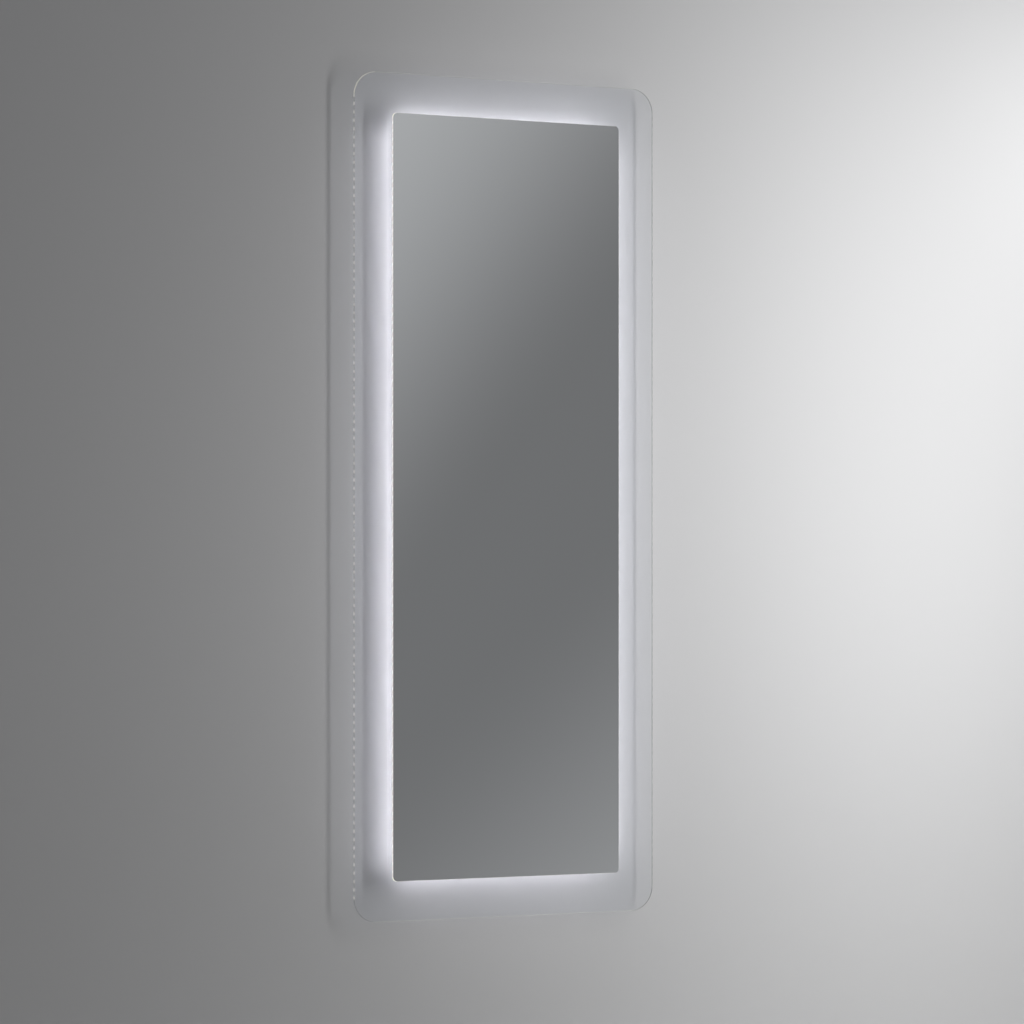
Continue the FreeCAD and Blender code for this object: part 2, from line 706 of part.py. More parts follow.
def make_strip(side, span, count):
    """The LED strip on the profile's slanted seat."""
    body = new_body("led_strip_" + side)
    sketch = new_sketch(body, "XY_Plane")
    middle, half, rise = "seat_sum / 2", "strip_half", "strip_rise"
    corners = [
        (f"{middle} - {half}", f"{middle} + {half}"),
        (f"{middle} + {half}", f"{middle} - {half}"),
        (f"{middle} + {half} + {rise}", f"{middle} - {half} + {rise}"),
        (f"{middle} - {half} + {rise}", f"{middle} + {half} + {rise}"),
    ]
    add_outline(sketch, [section_corner(span, outward, wallward) for outward, wallward in corners])
    extrude(body, sketch, f"{count} * led_pitch")
    return body


def make_chip(span):
    """One LED chip on the strip."""
    body = new_body("led_chip")
    sketch = new_sketch(body, "XY_Plane")
    base, half, rise = "(seat_sum / 2 + strip_rise)", "led_half", "led_rise"
    corners = [
        (f"{base} - {half}", f"{base} + {half}"),
        (f"{base} + {half}", f"{base} - {half}"),
        (f"{base} + {half} + {rise}", f"{base} - {half} + {rise}"),
        (f"{base} - {half} + {rise}", f"{base} + {half} + {rise}"),
    ]
    add_outline(sketch, [section_corner(span, outward, wallward) for outward, wallward in corners])
    extrude(body, sketch, "led_size")
    return body


def make_lights():
    """The four corner profiles, LED strips and rows of LED chips."""
    for side, turn, span, half_length, count in LIGHT_SIDES:
        whole = at("0", "0", "middle", degrees=turn)
        profile = make_light_profile(side, span, half_length)
        profile.Placement = whole
        if side == "left":
            # Long enough for the leg on the rail, too short for the slanted seat.
            way = [led_lead_way("-frame_width / 2")]
            cutters = hole_along(way, "led_lead_radius + lead_clearance", "profile_wall * 1.8")
            drilled("led_profile_left", profile, cutters)
        else:
            keep("led_profile_" + side, profile)
        strip = make_strip(side, span, count)
        strip.Placement = whole
        keep("led_strip_" + side, strip)
        chips = round(value(count))
        pitch = value("led_pitch")
        rows = []
        for i in range(chips):
            along = (i - (chips - 1) / 2) * pitch
            rows.append(whole.multiply(FreeCAD.Placement(FreeCAD.Vector(0, 0, along), FreeCAD.Rotation())))
        group("led_chips_" + side, make_chip(span), rows)


def tube_along(points, radius):
    """A round lead along straight runs joined by tangent arcs, each as large as its runs allow."""
    edges = []
    start = points[0]
    bends = []
    for before, corner, after in zip(points, points[1:], points[2:]):
        arriving, leaving = (corner - before), (after - corner)
        shorter = min(arriving.Length, leaving.Length)
        cut_back = 0.45 * shorter
        arriving.normalize()
        leaving.normalize()
        half_turn = arriving.getAngle(leaving) / 2
        bend = cut_back / math.tan(half_turn)
        bends.append(round(bend, 1))
        first, last = corner - arriving * cut_back, corner + leaving * cut_back
        inward = leaving - arriving
        inward.normalize()
        middle = corner + inward * (bend / math.cos(half_turn) - bend)
        edges.append(Part.LineSegment(start, first).toShape())
        edges.append(Part.Arc(first, middle, last).toShape())
        start = last
    edges.append(Part.LineSegment(start, points[-1]).toShape())
    path = Part.Wire(edges)
    direction = points[1] - points[0]
    circle = Part.Wire(Part.makeCircle(radius, points[0], direction))
    tube = path.makePipeShell([circle], True, True)
    expected = math.pi * radius**2 * path.Length
    print(f"lead of radius {radius}: bends {bends}, volume {tube.Volume:.1f} for {expected:.1f}")
    return tube


def make_links():
    """The short leads that carry the current round three of the frame's corners."""
    radius = value("link_radius")
    seat = value("link_seat")
    out_x = value("frame_width / 2") + seat
    out_z = value("frame_height / 2") + seat
    y = value("rail_front + link_seat + strip_thickness * sqrt(2)")
    end_x = value("end_led_count * led_pitch / 2 + link_gap")
    end_z = value("side_led_count * led_pitch / 2 + link_gap")
    middle = value("middle")
    links = []
    for across, up in ((-1, 1), (1, 1), (1, -1)):
        start = FreeCAD.Vector(across * out_x, y, middle + up * end_z)
        corner = FreeCAD.Vector(across * out_x, y, middle + up * out_z)
        finish = FreeCAD.Vector(across * end_x, y, middle + up * out_z)
        links.append(tube_along([start, corner, finish], radius))
    made = doc.addObject("Part::Feature", "strip_links")
    made.Shape = Part.makeCompound(links)
    keep("strip_links", made)


# ------------------------------------------------------------------ hanging


def bent_plate(name, corners, width):
    """A bent steel plate: an outline seen from the side, as wide as the hook."""
    body = new_body(name)
    sketch = new_sketch(body, "YZ_Plane")
    add_outline(sketch, corners)
    extrude(body, sketch, width)
    return body


def make_hooks():
    """The two wall hooks, each with two holes for the wall screws."""
    base, steel = "hook_base_half", "hook_sheet"
    lip_back, lip_front = "-hook_trough", "-hook_trough - hook_sheet"
    corners = [
        ("0", f"-{base}"), ("0", base), (lip_back, base), (lip_back, "lip_top"),
        (lip_front, "lip_top"), (lip_front, f"{base} - {steel}"), (f"-{steel}", f"{base} - {steel}"),
        (f"-{steel}", f"-{base}"),
    ]
    for label, side in (("wall_hook_left", -1), ("wall_hook_right", 1)):
        body = bent_plate(label, corners, "hook_width")
        holes = new_sketch(body, "XZ_Plane", "hook_sheet / 2")
        for end in (-1, 1):
            add_circle(holes, "hook_hole_radius", "0", f"{end} * hook_hole_spacing / 2")
        extrude(body, holes, "2 * hook_sheet", cut=True)
        place(body, x=f"{side} * hook_spacing / 2")
        keep(label, body)


def make_hangers(frame_screw):
    """The two hangers on the upper cross rail. Their lips reach down behind the hooks' lips."""
    steel, face = "hook_sheet", "cross_back"
    lip_front = "-hook_trough + hook_clearance"
    lip_back = "-hook_trough + hook_clearance + hook_sheet"
    lip_end = "lip_top - lip_engagement"
    base_top = "lip_top + hook_sheet + hanger_base_height"
    corners = [
        (face, base_top), (face, "lip_top"), (lip_front, "lip_top"), (lip_front, lip_end),
        (lip_back, lip_end), (lip_back, f"lip_top + {steel}"), (f"{face} + {steel}", f"lip_top + {steel}"),
        (f"{face} + {steel}", base_top),
    ]
    places = hanger_screws()
    for label, side, mine in (("hanger_left", -1, places[0:2]), ("hanger_right", 1, places[2:4])):
        body = bent_plate(label + "_plate", corners, "hook_width")
        place(body, x=f"{side} * hook_spacing / 2")
        drilled(label, body, hole_along(mine, "screw_radius + screw_clearance", "hook_sheet"))
    group("hanger_screws", frame_screw, places)


# ------------------------------------------------------------------ electrical equipment


def plate_angle(side):
    """A plate angle with its corner at the origin: one leg on the side rail, the other on the plate."""
    body = new_body("angle")
    sketch = new_sketch(body, "XY_Plane")
    leg, steel = "angle_leg", "plate_thickness"
    corners = [("0", "0"), (leg, "0"), (leg, steel), (steel, steel), (steel, leg), ("0", leg)]
    add_outline(sketch, [(f"{-side} * {across}", depth) for across, depth in corners])
    extrude(body, sketch, "angle_height")
    in_rail = new_sketch(body, "YZ_Plane", f"{-side} * {steel} / 2")
    add_circle(in_rail, "screw_radius + screw_clearance", "angle_hole", "0")
    extrude(body, in_rail, f"2 * {steel}", cut=True)
    in_plate = new_sketch(body, "XZ_Plane", f"-{steel} / 2")
    add_circle(in_plate, "small_screw_radius + screw_clearance", f"{-side} * angle_hole", "0")
    extrude(body, in_plate, f"2 * {steel}", cut=True)
    return body


def make_plate(frame_screw, small_screw):
    """The equipment plate between the side rails, with its angles and screws."""
    small_hole = "small_screw_radius + screw_clearance"
    plate = block("plate", "inner_width - 2 * plate_gap", "plate_thickness", "plate_height")
    place(plate, y="plate_back - plate_thickness / 2", z="plate_middle")
    places = angle_plate_screws() + driver_screws() + box_screws()
    drilled("equipment_plate", plate, hole_along(places, small_hole, "small_screw_length * 2"))
    for label, side in (("plate_angles_left", -1), ("plate_angles_right", 1)):
        heights = [z for spot, z in angle_places() if spot == side]
        places = [at(f"{side} * inner_width / 2", "plate_back", z) for z in heights]
        group(label, plate_angle(side), places)
    group("angle_rail_screws", frame_screw, angle_rail_screws())
    group("angle_plate_screws", small_screw, angle_plate_screws())
    group("driver_screws", small_screw, driver_screws())
    group("junction_box_screws", small_screw, box_screws())


def along_x(x, y, z):
    """A place whose own Z axis points along X."""
    return at(x, y, z, degrees=90)


def make_driver():
    """The LED driver: a case on two ears, its cover, and the circuit board with its larger components."""
    length, height, wall = "driver_length", "driver_height", "driver_wall"
    base = new_body("driver_base")
    floor = new_sketch(base, "XZ_Plane")
    add_rectangle(floor, f"{length} + 2 * driver_ear", height)
    extrude(base, floor, wall, both_ways=False, reverse=True)
    walls = new_sketch(base, "XZ_Plane")
    add_rectangle(walls, length, height)
    extrude(base, walls, f"driver_depth - {wall}", both_ways=False, reverse=True)
    hollow = new_sketch(base, "XZ_Plane", "-(driver_wall + driver_depth) / 2")
    add_rectangle(hollow, f"{length} - 2 * {wall}", f"{height} - 2 * {wall}")
    extrude(base, hollow, f"driver_depth - {wall}", cut=True)
    posts = new_sketch(base, "XZ_Plane")
    for side in (-1, 1):
        for end in (-1, 1):
            across = f"{side} * ({length} / 2 - post_end_inset)"
            add_circle(posts, "post_radius", across, f"{end} * ({height} / 2 - post_side_inset)")
    extrude(base, posts, f"{wall} + board_lift", both_ways=False, reverse=True)
    place(base, "driver_middle", "plate_back", "plate_middle")
    holes = hole_along(driver_screws(), "small_screw_radius + screw_clearance", "driver_wall * 2")
    left = along_x(f"driver_middle - {length} / 2", "driver_lead_y", "plate_middle")
    right = along_x(f"driver_middle + {length} / 2", "driver_lead_y", "plate_middle")
    holes += hole_along([left], "led_lead_radius + bush_wall", f"{wall} * 2")
    holes += hole_along([right], "mains_lead_radius + bush_wall", f"{wall} * 2")
    drilled("driver_case", base, holes)

    cover = new_body("driver_cover")
    lid = new_sketch(cover, "XZ_Plane")
    add_rectangle(lid, length, height)
    extrude(cover, lid, wall, both_ways=False, reverse=True)
    rim = new_sketch(cover, "XZ_Plane")
    for walls in (2, 4):
        inset = f"{walls} * {wall} + 2 * cover_clearance"
        add_rectangle(rim, f"{length} - ({inset})", f"{height} - ({inset})")
    extrude(cover, rim, "cover_rim", both_ways=False)
    place(cover, "driver_middle", f"driver_back - {wall}", "plate_middle")
    keep("driver_cover", cover)

    board = block(
        "driver_board", f"{length} - 2 * {wall} - 2 * board_gap", "board_thickness",
        f"{height} - 2 * {wall} - 2 * board_gap",
    )
    board_back = f"plate_back + {wall} + board_lift + board_thickness"
    place(board, "driver_middle", f"{board_back} - board_thickness / 2", "plate_middle")
    keep("driver_board", board)

    parts = new_body("driver_components")
    # Transformer and two coils: width, height and middle on the board.
    blocks = new_sketch(parts, "XZ_Plane")
    for width, tall, x, z in ((26, 30, 10, 2), (14, 22, -42, 4), (10, 16, 62, -9)):
        add_rectangle(blocks, width, tall, x, z)
    extrude(parts, blocks, "coil_height", both_ways=False, reverse=True)
    cans = new_sketch(parts, "XZ_Plane")
    for x, z in ((38, 12), (38, -12), (-16, 10), (-16, -12), (-62, -10)):
        add_circle(cans, "can_radius", x, z)
    extrude(parts, cans, "can_height", both_ways=False, reverse=True)
    place(parts, "driver_middle", board_back, "plate_middle")
    keep("driver_components", parts)


def make_junction_box(small_screw):
    """The junction box with its lid, screws, terminal block and cable gland."""
    width, height, wall = "box_width", "box_height", "box_wall"
    # Each boss is set a little into the walls of its corner.
    inset = f"{wall} + box_boss_inset"
    boss_x, boss_z = f"{width} / 2 - ({inset})", f"{height} / 2 - ({inset})"
    corners = [(f"{side} * ({boss_x})", f"{-side} * ({boss_z})") for side in (-1, 1)]
    shell = new_body("box_shell")
    outside = new_sketch(shell, "XZ_Plane")
    add_rectangle(outside, width, height)
    extrude(shell, outside, f"box_depth - {wall}", both_ways=False, reverse=True)
    hollow = new_sketch(shell, "XZ_Plane", f"-(box_wall + box_depth) / 2")
    add_rectangle(hollow, f"{width} - 2 * {wall}", f"{height} - 2 * {wall}")
    extrude(shell, hollow, f"box_depth - {wall}", cut=True)
    bosses = new_sketch(shell, "XZ_Plane")
    for x, z in corners:
        add_circle(bosses, "box_boss_radius", x, z)
    extrude(shell, bosses, f"box_depth - {wall}", both_ways=False, reverse=True)
    place(shell, "box_middle", "plate_back", "plate_middle")
    lid_screws = []
    for x, z in corners:
        lid_screws.append(at(f"box_middle + {x}", "box_back", f"plate_middle + {z}", (1, 0, 0), -90))
    small_hole = "small_screw_radius + screw_clearance"
    holes = hole_along(lid_screws, small_hole, f"small_screw_length + {PAST}")
    holes += hole_along(box_screws(), small_hole, "box_wall * 2")
    lead = along_x("box_middle - box_width / 2", "driver_lead_y", "plate_middle - mains_lead_drop")
    holes += hole_along([lead], "mains_lead_radius + bush_wall", "box_wall * 2")
    gland = at("box_middle", "gland_y", "box_bottom")
    holes += hole_along([gland], "gland_thread + gland_clearance", "box_wall * 2")
    drilled("junction_box", shell, holes)

    lid = new_body("box_lid")
    plate = new_sketch(lid, "XZ_Plane")
    add_rectangle(plate, width, height)
    extrude(lid, plate, wall, both_ways=False, reverse=True)
    place(lid, "box_middle", f"box_back - {wall}", "plate_middle")
    drilled("junction_box_lid", lid, hole_along(lid_screws, small_hole, "box_wall * 2"))
    group("junction_lid_screws", small_screw, lid_screws)

    block_body = block("terminal", "terminal_width", "terminal_depth", "terminal_height")
    mouths = new_sketch(block_body, "XY_Plane")
    tops = new_sketch(block_body, "XZ_Plane", "-terminal_depth / 2")
    for step in (-1, 0, 1):
        across = f"{step} * terminal_width / 3"
        add_circle(mouths, "terminal_mouth", across, "-terminal_depth / 6")
        for row in (-1, 1):
            add_circle(tops, "terminal_screw_hole", across, f"{row} * terminal_height / 4")
    extrude(block_body, mouths, "2 * terminal_height", cut=True)
    extrude(block_body, tops, "terminal_depth / 2", cut=True)
    terminal_y = f"plate_back + {wall} + terminal_depth / 2"
    place(block_body, "box_middle", terminal_y, "plate_middle + terminal_rise")
    keep("terminal_block", block_body)

    body = new_body("cable_gland")
    rings = (
        ("gland_dome_radius", "gland_flange_height + gland_dome_height", True),
        ("gland_flange", "gland_flange_height", True),
        ("gland_thread", f"{wall} + gland_inside", False),
    )
    for radius, length, downwards in rings:
        ring = new_sketch(body, "XY_Plane")
        add_circle(ring, radius)
        add_circle(ring, "gland_bore")
        extrude(body, ring, length, both_ways=False, reverse=downwards)
    low = -value("gland_flange_height + gland_dome_height")
    bore = value("gland_bore")

    def on_dome_rim(point):
        return abs(point.z - low) < 0.01 and math.hypot(point.x, point.y) > bore + PAST

    rim = edges_where(body.Tip, on_dome_rim)
    finish_edges(body, "Fillet", body.Tip, rim, "(gland_dome_radius - gland_bore) * 0.7")
    place(body, "box_middle", "gland_y", "box_bottom")
    keep("cable_gland", body)

    nut = new_body("gland_nut")
    hexagon = new_sketch(nut, "XY_Plane")
    turns = [60 * turn for turn in range(6)]
    add_outline(hexagon, [(f"gland_flange * cos({turn})", f"gland_flange * sin({turn})") for turn in turns])
    add_circle(hexagon, "gland_thread + gland_clearance")
    extrude(nut, hexagon, "gland_nut_height", both_ways=False)
    place(nut, "box_middle", "gland_y", f"box_bottom + {wall}")
    keep("gland_nut", nut)


def bush(name, lead_radius, wall):
    """A bush for a lead: a sleeve in the wall, from z = 0 down, and a flange outside it."""
    body = new_body(name)
    bore = f"{lead_radius} + lead_clearance"
    sleeve = new_sketch(body, "XY_Plane")
    add_circle(sleeve, f"{lead_radius} + bush_wall")
    add_circle(sleeve, bore)
    extrude(body, sleeve, wall, both_ways=False, reverse=True)
    flange = new_sketch(body, "XY_Plane")
    add_circle(flange, f"{lead_radius} + 2 * bush_wall")
    add_circle(flange, bore)
    extrude(body, flange, "bush_flange", both_ways=False)
    return body


def make_leads():
    """The two leads and the bushes where they pass through walls."""
    y, z = "driver_lead_y", "plate_middle"
    left, right = "driver_middle - driver_length / 2", "driver_middle + driver_length / 2"
    box_side = "box_middle - box_width / 2"

    def point(x, depth, height):
        return FreeCAD.Vector(value(x), value(depth), value(height))

    rail_y = "rail_front + led_lead_height"
    low = f"{z} - led_lead_drop"
    route = [
        point(f"{left} + lead_inside", y, z),
        point(f"{left} - 30", y, z),
        point(f"{left} - 35", f"{y} - 4", f"{z} - led_lead_drop * 0.6"),
        point("-inner_width / 2 + 21", rail_y, low),
        point(f"-frame_width / 2 - profile_wall - {PAST}", rail_y, low),
    ]
    made = doc.addObject("Part::Feature", "led_lead")
    made.Shape = tube_along(route, value("led_lead_radius"))
    keep("led_lead", made)
    drop = f"{z} - mains_lead_drop"
    route = [
        point(f"{right} - lead_inside", y, z),
        point(f"{right} + ({box_side} - ({right})) * 0.3", y, z),
        point(f"{right} + ({box_side} - ({right})) * 0.7", y, drop),
        point(f"{box_side} + lead_inside", y, drop),
    ]
    made = doc.addObject("Part::Feature", "mains_lead")
    made.Shape = tube_along(route, value("mains_lead_radius"))
    keep("mains_lead", made)

    thin, thick = "led_lead_radius", "mains_lead_radius"
    group("led_lead_bush", bush("bush_a", thin, "driver_wall"), [at(left, y, z, degrees=-90)])
    group("mains_lead_bush", bush("bush_b", thick, "driver_wall"), [at(right, y, z, degrees=90)])
    group("box_lead_bush", bush("bush_c", thick, "box_wall"), [at(box_side, y, drop, degrees=-90)])
    in_rail = at("-inner_width / 2", rail_y, low, degrees=90)
    group("rail_grommet", bush("bush_d", thin, "rail_wall"), [in_rail])


# ------------------------------------------------------------------ the whole mirror


def check_all():
    """Stops if any object failed to build or any kept piece is empty or not sound."""
    doc.recompute()
    for item in doc.Objects:
        if "Invalid" in item.State or "Error" in item.State:
            raise ValueError(f"{item.Label} failed: {item.State}")
    for label, piece in kept.items():
        if piece.Shape.isNull() or not piece.Shape.isValid() or not piece.Shape.Solids:
            raise ValueError(f"{label} has no sound shape")


def write_all():
    """Writes each piece to a file named after it."""
    os.makedirs("parts", exist_ok=True)
    for label, piece in kept.items():
        piece.Shape.exportStep(f"parts/{label}.step")
        print(f"{label}: {len(piece.Shape.Solids)} solids, {piece.Shape.Volume / 1000:.2f} cm3")


frame_screw = screw("frame_screw", "screw_radius", "screw_head_radius", "screw_head_height", "screw_length")
small_screw = screw(
    "small_screw", "small_screw_radius", "small_head_radius", "small_head_height", "small_screw_length"
)
make_glass()
make_frame(frame_screw)
make_lights()
make_links()
make_hooks()
make_hangers(frame_screw)
make_plate(frame_screw, small_screw)
make_driver()
make_junction_box(small_screw)
make_leads()
check_all()
write_all()
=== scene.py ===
import logging
import math
from dataclasses import dataclass
from enum import Enum
from typing import Dict, List, Optional, Sequence, Tuple, Union

import bmesh
import bpy
from mathutils import Euler, Matrix, Vector


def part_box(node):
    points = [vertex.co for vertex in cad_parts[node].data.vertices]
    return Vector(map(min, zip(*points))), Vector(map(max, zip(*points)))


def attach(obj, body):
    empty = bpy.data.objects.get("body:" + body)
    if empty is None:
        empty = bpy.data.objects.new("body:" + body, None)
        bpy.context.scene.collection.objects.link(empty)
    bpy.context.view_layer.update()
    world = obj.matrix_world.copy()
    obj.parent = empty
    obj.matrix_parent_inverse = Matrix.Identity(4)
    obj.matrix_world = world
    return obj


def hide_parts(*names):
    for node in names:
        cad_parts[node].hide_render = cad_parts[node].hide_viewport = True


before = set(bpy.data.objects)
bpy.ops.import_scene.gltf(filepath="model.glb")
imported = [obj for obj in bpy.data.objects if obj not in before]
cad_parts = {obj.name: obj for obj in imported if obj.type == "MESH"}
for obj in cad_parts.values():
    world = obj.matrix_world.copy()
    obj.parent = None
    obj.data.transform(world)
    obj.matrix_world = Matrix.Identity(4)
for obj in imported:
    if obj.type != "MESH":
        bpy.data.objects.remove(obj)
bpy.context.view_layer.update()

# A tall lighted wall mirror: a clear round-cornered panel stands off the wall on an aluminium frame, a
# smaller mirror plate is bonded to its front, and LED strips round the frame light the wall behind it.
# Metres. The wall is the plane y = 0, the front faces -Y, +Z is up and +X is the viewer's right.

log = logging.getLogger("lighted_mirror")

HUNG = "hung_mirror"
Object, Mesh, Material = bpy.types.Object, bpy.types.Mesh, bpy.types.Material
NODES: Dict[str, Object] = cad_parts

Colour = Tuple[float, float, float]
Place = Tuple[float, float, float]
Pair = Tuple[float, float]
Value = Union[float, int, Sequence[float], "Signal"]

# Sixty LEDs in a metre.
LED_PITCH = 0.016667
BLACK: Colour = (0.03, 0.03, 0.032)
WHITE: Colour = (1.0, 1.0, 1.0)


def shade(colour: Colour, share: float) -> Colour:
    """The colour made darker or paler by a share, up to white."""
    return tuple(min(1.0, part * share) for part in colour)


def link(name: str, data: bpy.types.ID) -> Object:
    """Puts a new object with that data into the scene, at the origin.

    Args:
        name: The object's name.
        data: Its mesh, curve, lamp or camera.

    Returns:
        The object.
    """
    made = bpy.data.objects.new(name, data)
    bpy.context.scene.collection.objects.link(made)
    return made


# ---------------- node trees


class Signal:
    """A value that runs through a node tree. Arithmetic on it adds Math nodes."""

    def __init__(self, book: "NodeBook", socket: bpy.types.NodeSocket) -> None:
        """Keeps the tree's book and the socket that the value comes out of."""
        self.book = book
        self.socket = socket

    def other(self, name: str) -> "Signal":
        """Another output of the same node."""
        return Signal(self.book, self.socket.node.outputs[name])

    def maths(self, operation: str, *values: Value) -> "Signal":
        """A Math node on this value and the others."""
        return self.book.maths(operation, self, *values)

    def __add__(self, other: Value) -> "Signal":
        """This plus the other."""
        return self.maths("ADD", other)

    __radd__ = __add__

    def __sub__(self, other: Value) -> "Signal":
        """This less the other."""
        return self.maths("SUBTRACT", other)

    def __rsub__(self, other: Value) -> "Signal":
        """The other less this."""
        return self.book.maths("SUBTRACT", other, self)

    def __mul__(self, other: Value) -> "Signal":
        """This times the other."""
        return self.maths("MULTIPLY", other)

    __rmul__ = __mul__

    def __truediv__(self, other: Value) -> "Signal":
        """This over the other."""
        return self.maths("DIVIDE", other)

    def __pow__(self, other: Value) -> "Signal":
        """This to the power of the other."""
        return self.maths("POWER", other)

    def __abs__(self) -> "Signal":
        """This without its sign."""
        return self.maths("ABSOLUTE")

    def step(self, start: float, end: float, low: float = 0.0, high: float = 1.0) -> "Signal":
        """A smooth step as this goes from start to end, which may be the lower one.

        Args:
            start: Where the step starts.
            end: Where it ends.
            low: Its value at the start.
            high: Its value at the end.

        Returns:
            The step's value.
        """
        values = {"Value": self, "From Min": start, "From Max": end, "To Min": low, "To Max": high}
        return self.book.node("ShaderNodeMapRange", {"interpolation_type": "SMOOTHSTEP"}, values)


class NodeBook:
    """Writes nodes into one tree."""

    def __init__(self, tree: bpy.types.NodeTree) -> None:
        """Keeps the tree."""
        self.tree = tree

    def node(
        self,
        kind: str,
        settings: Optional[Dict[str, object]] = None,
        values: Optional[Dict[Union[str, int], Value]] = None,
        output: Union[str, int] = 0,
    ) -> Signal:
        """Adds one node.

        Args:
            kind: The node's type.
            settings: Its own settings, set first.
            values: A number, a vector or a signal for each input, by its identifier or index.
            output: The output that is returned.

        Returns:
            The signal that comes out of the node.
        """
        made = self.tree.nodes.new(kind)
        for name, setting in (settings or {}).items():
            setattr(made, name, setting)
        inputs = {socket.identifier: socket for socket in made.inputs}
        for key, value in (values or {}).items():
            socket = made.inputs[key] if isinstance(key, int) else inputs[key]
            if isinstance(value, Signal):
                self.tree.links.new(value.socket, socket)
            else:
                socket.default_value = value
        return Signal(self, made.outputs[output] if len(made.outputs) else None)

    def maths(self, operation: str, *values: Value) -> Signal:
        """A Math node."""
        return self.node("ShaderNodeMath", {"operation": operation}, dict(enumerate(values)))

    def mix(self, factor: Value, first: Value, second: Value) -> Signal:
        """A mix of two colours."""
        values = {"Factor_Float": factor, "A_Color": self._rgba(first), "B_Color": self._rgba(second)}
        return self.node("ShaderNodeMix", {"data_type": "RGBA"}, values, "Result")

    @staticmethod
    def _rgba(colour: Value) -> Value:
        """A colour with its fourth number, or the signal as it is."""
        return colour if isinstance(colour, Signal) else (*colour[:3], 1.0)

    def axes(self, vector: Signal) -> Tuple[Signal, Signal, Signal]:
        """A vector's three numbers."""
        split = self.node("ShaderNodeSeparateXYZ", None, {"Vector": vector}, "X")
        return split, split.other("Y"), split.other("Z")

    def ray(self, kind: str) -> Signal:
        """1 for rays of that kind, as the Light Path node names them."""
        return self.node("ShaderNodeLightPath", None, None, kind)

    def noise(self, place: Signal, scale: float, detail: float = 2.0, rough: float = 0.5) -> Signal:
        """Smooth random values of that scale, per metre."""
        values = {"Vector": place, "Scale": scale, "Detail": detail, "Roughness": rough}
        return self.node("ShaderNodeTexNoise", None, values, 0)


class MaterialBook(NodeBook):
    """Writes one material."""

    def __init__(self, name: str) -> None:
        """Makes an empty material.

        Args:
            name: Its name.
        """
        self.material = bpy.data.materials.new(name)
        self.material.use_nodes = True
        super().__init__(self.material.node_tree)
        self.tree.nodes.clear()

    def place(self) -> Signal:
        """The point's place on the piece, in metres."""
        return self.node("ShaderNodeTexCoord", None, None, "Object")

    def stretched(self, scale: Sequence[float]) -> Signal:
        """The point's place with each axis scaled."""
        return self.node("ShaderNodeMapping", None, {"Vector": self.place(), "Scale": scale})

    def bump(self, height: Signal, depth: float) -> Signal:
        """A Bump node that feeds Normal."""
        return self.node("ShaderNodeBump", None, {"Height": height, "Distance": depth, "Strength": 1.0})

    def principled(self, values: Dict[str, Value]) -> Signal:
        """A Principled shader."""
        return self.node("ShaderNodeBsdfPrincipled", None, values)

    def blend(self, factor: Value, first: Signal, second: Signal) -> Signal:
        """A Mix Shader."""
        return self.node("ShaderNodeMixShader", None, {0: factor, 1: first, 2: second})

    def clear(self, tint: Colour) -> Signal:
        """A Transparent shader of that tint."""
        return self.node("ShaderNodeBsdfTransparent", None, {"Color": (*tint, 1.0)})

    def facing_away(self) -> Signal:
        """1 where a face is seen from behind, else 0."""
        return self.node("ShaderNodeNewGeometry", None, None, "Backfacing")

    def done(self, shader: Signal) -> Material:
        """Joins the shader to the output and returns the material."""
        self.node("ShaderNodeOutputMaterial", None, {"Surface": shader})
        return self.material

    def painted(self, values: Dict[str, Value]) -> Material:
        """The material, finished as one Principled shader."""
        return self.done(self.principled(values))


# ---------------- finishes


class Run(Enum):
    """The direction that an extrusion's die lines run in."""

    LEVEL = (4.0, 900.0, 900.0)
    UPRIGHT = (900.0, 900.0, 4.0)


@dataclass(frozen=True)
class ClearFace:
    """A polished face of clear glass, which mirrors a little and lets the rest through."""

    tint: Colour = (0.978, 0.983, 0.993)
    least_share: float = 0.04

    def material(self) -> Material:
        """Writes the finish.

        Returns:
            The material.
        """
        book = MaterialBook("clear_glass_face")
        gloss = book.node("ShaderNodeBsdfAnisotropic", None, {"Roughness": 0.0, "Color": (*WHITE, 1.0)})
        slant = book.node("ShaderNodeLayerWeight", None, {"Blend": 0.5}, "Facing")
        share = slant**5 * (1 - self.least_share) + self.least_share
        return book.done(book.blend(share, book.clear(self.tint), gloss))


@dataclass(frozen=True)
class PaintedEdgeLight:
    """How a glass edge shows the LEDs as painted light: strengths of its painted glow and glints, which are
    emission standing in for the LEDs seen in the edge, and shares that say how solid it looks.

    The painted light shows on the front part of the edge, as far back as front_share of its thickness, and
    between is how solid a side is from one glint to the next.
    """

    front_share: float
    between: float
    side: float
    dot: float
    arc: float
    low_arc: float
    end: float
    body: float


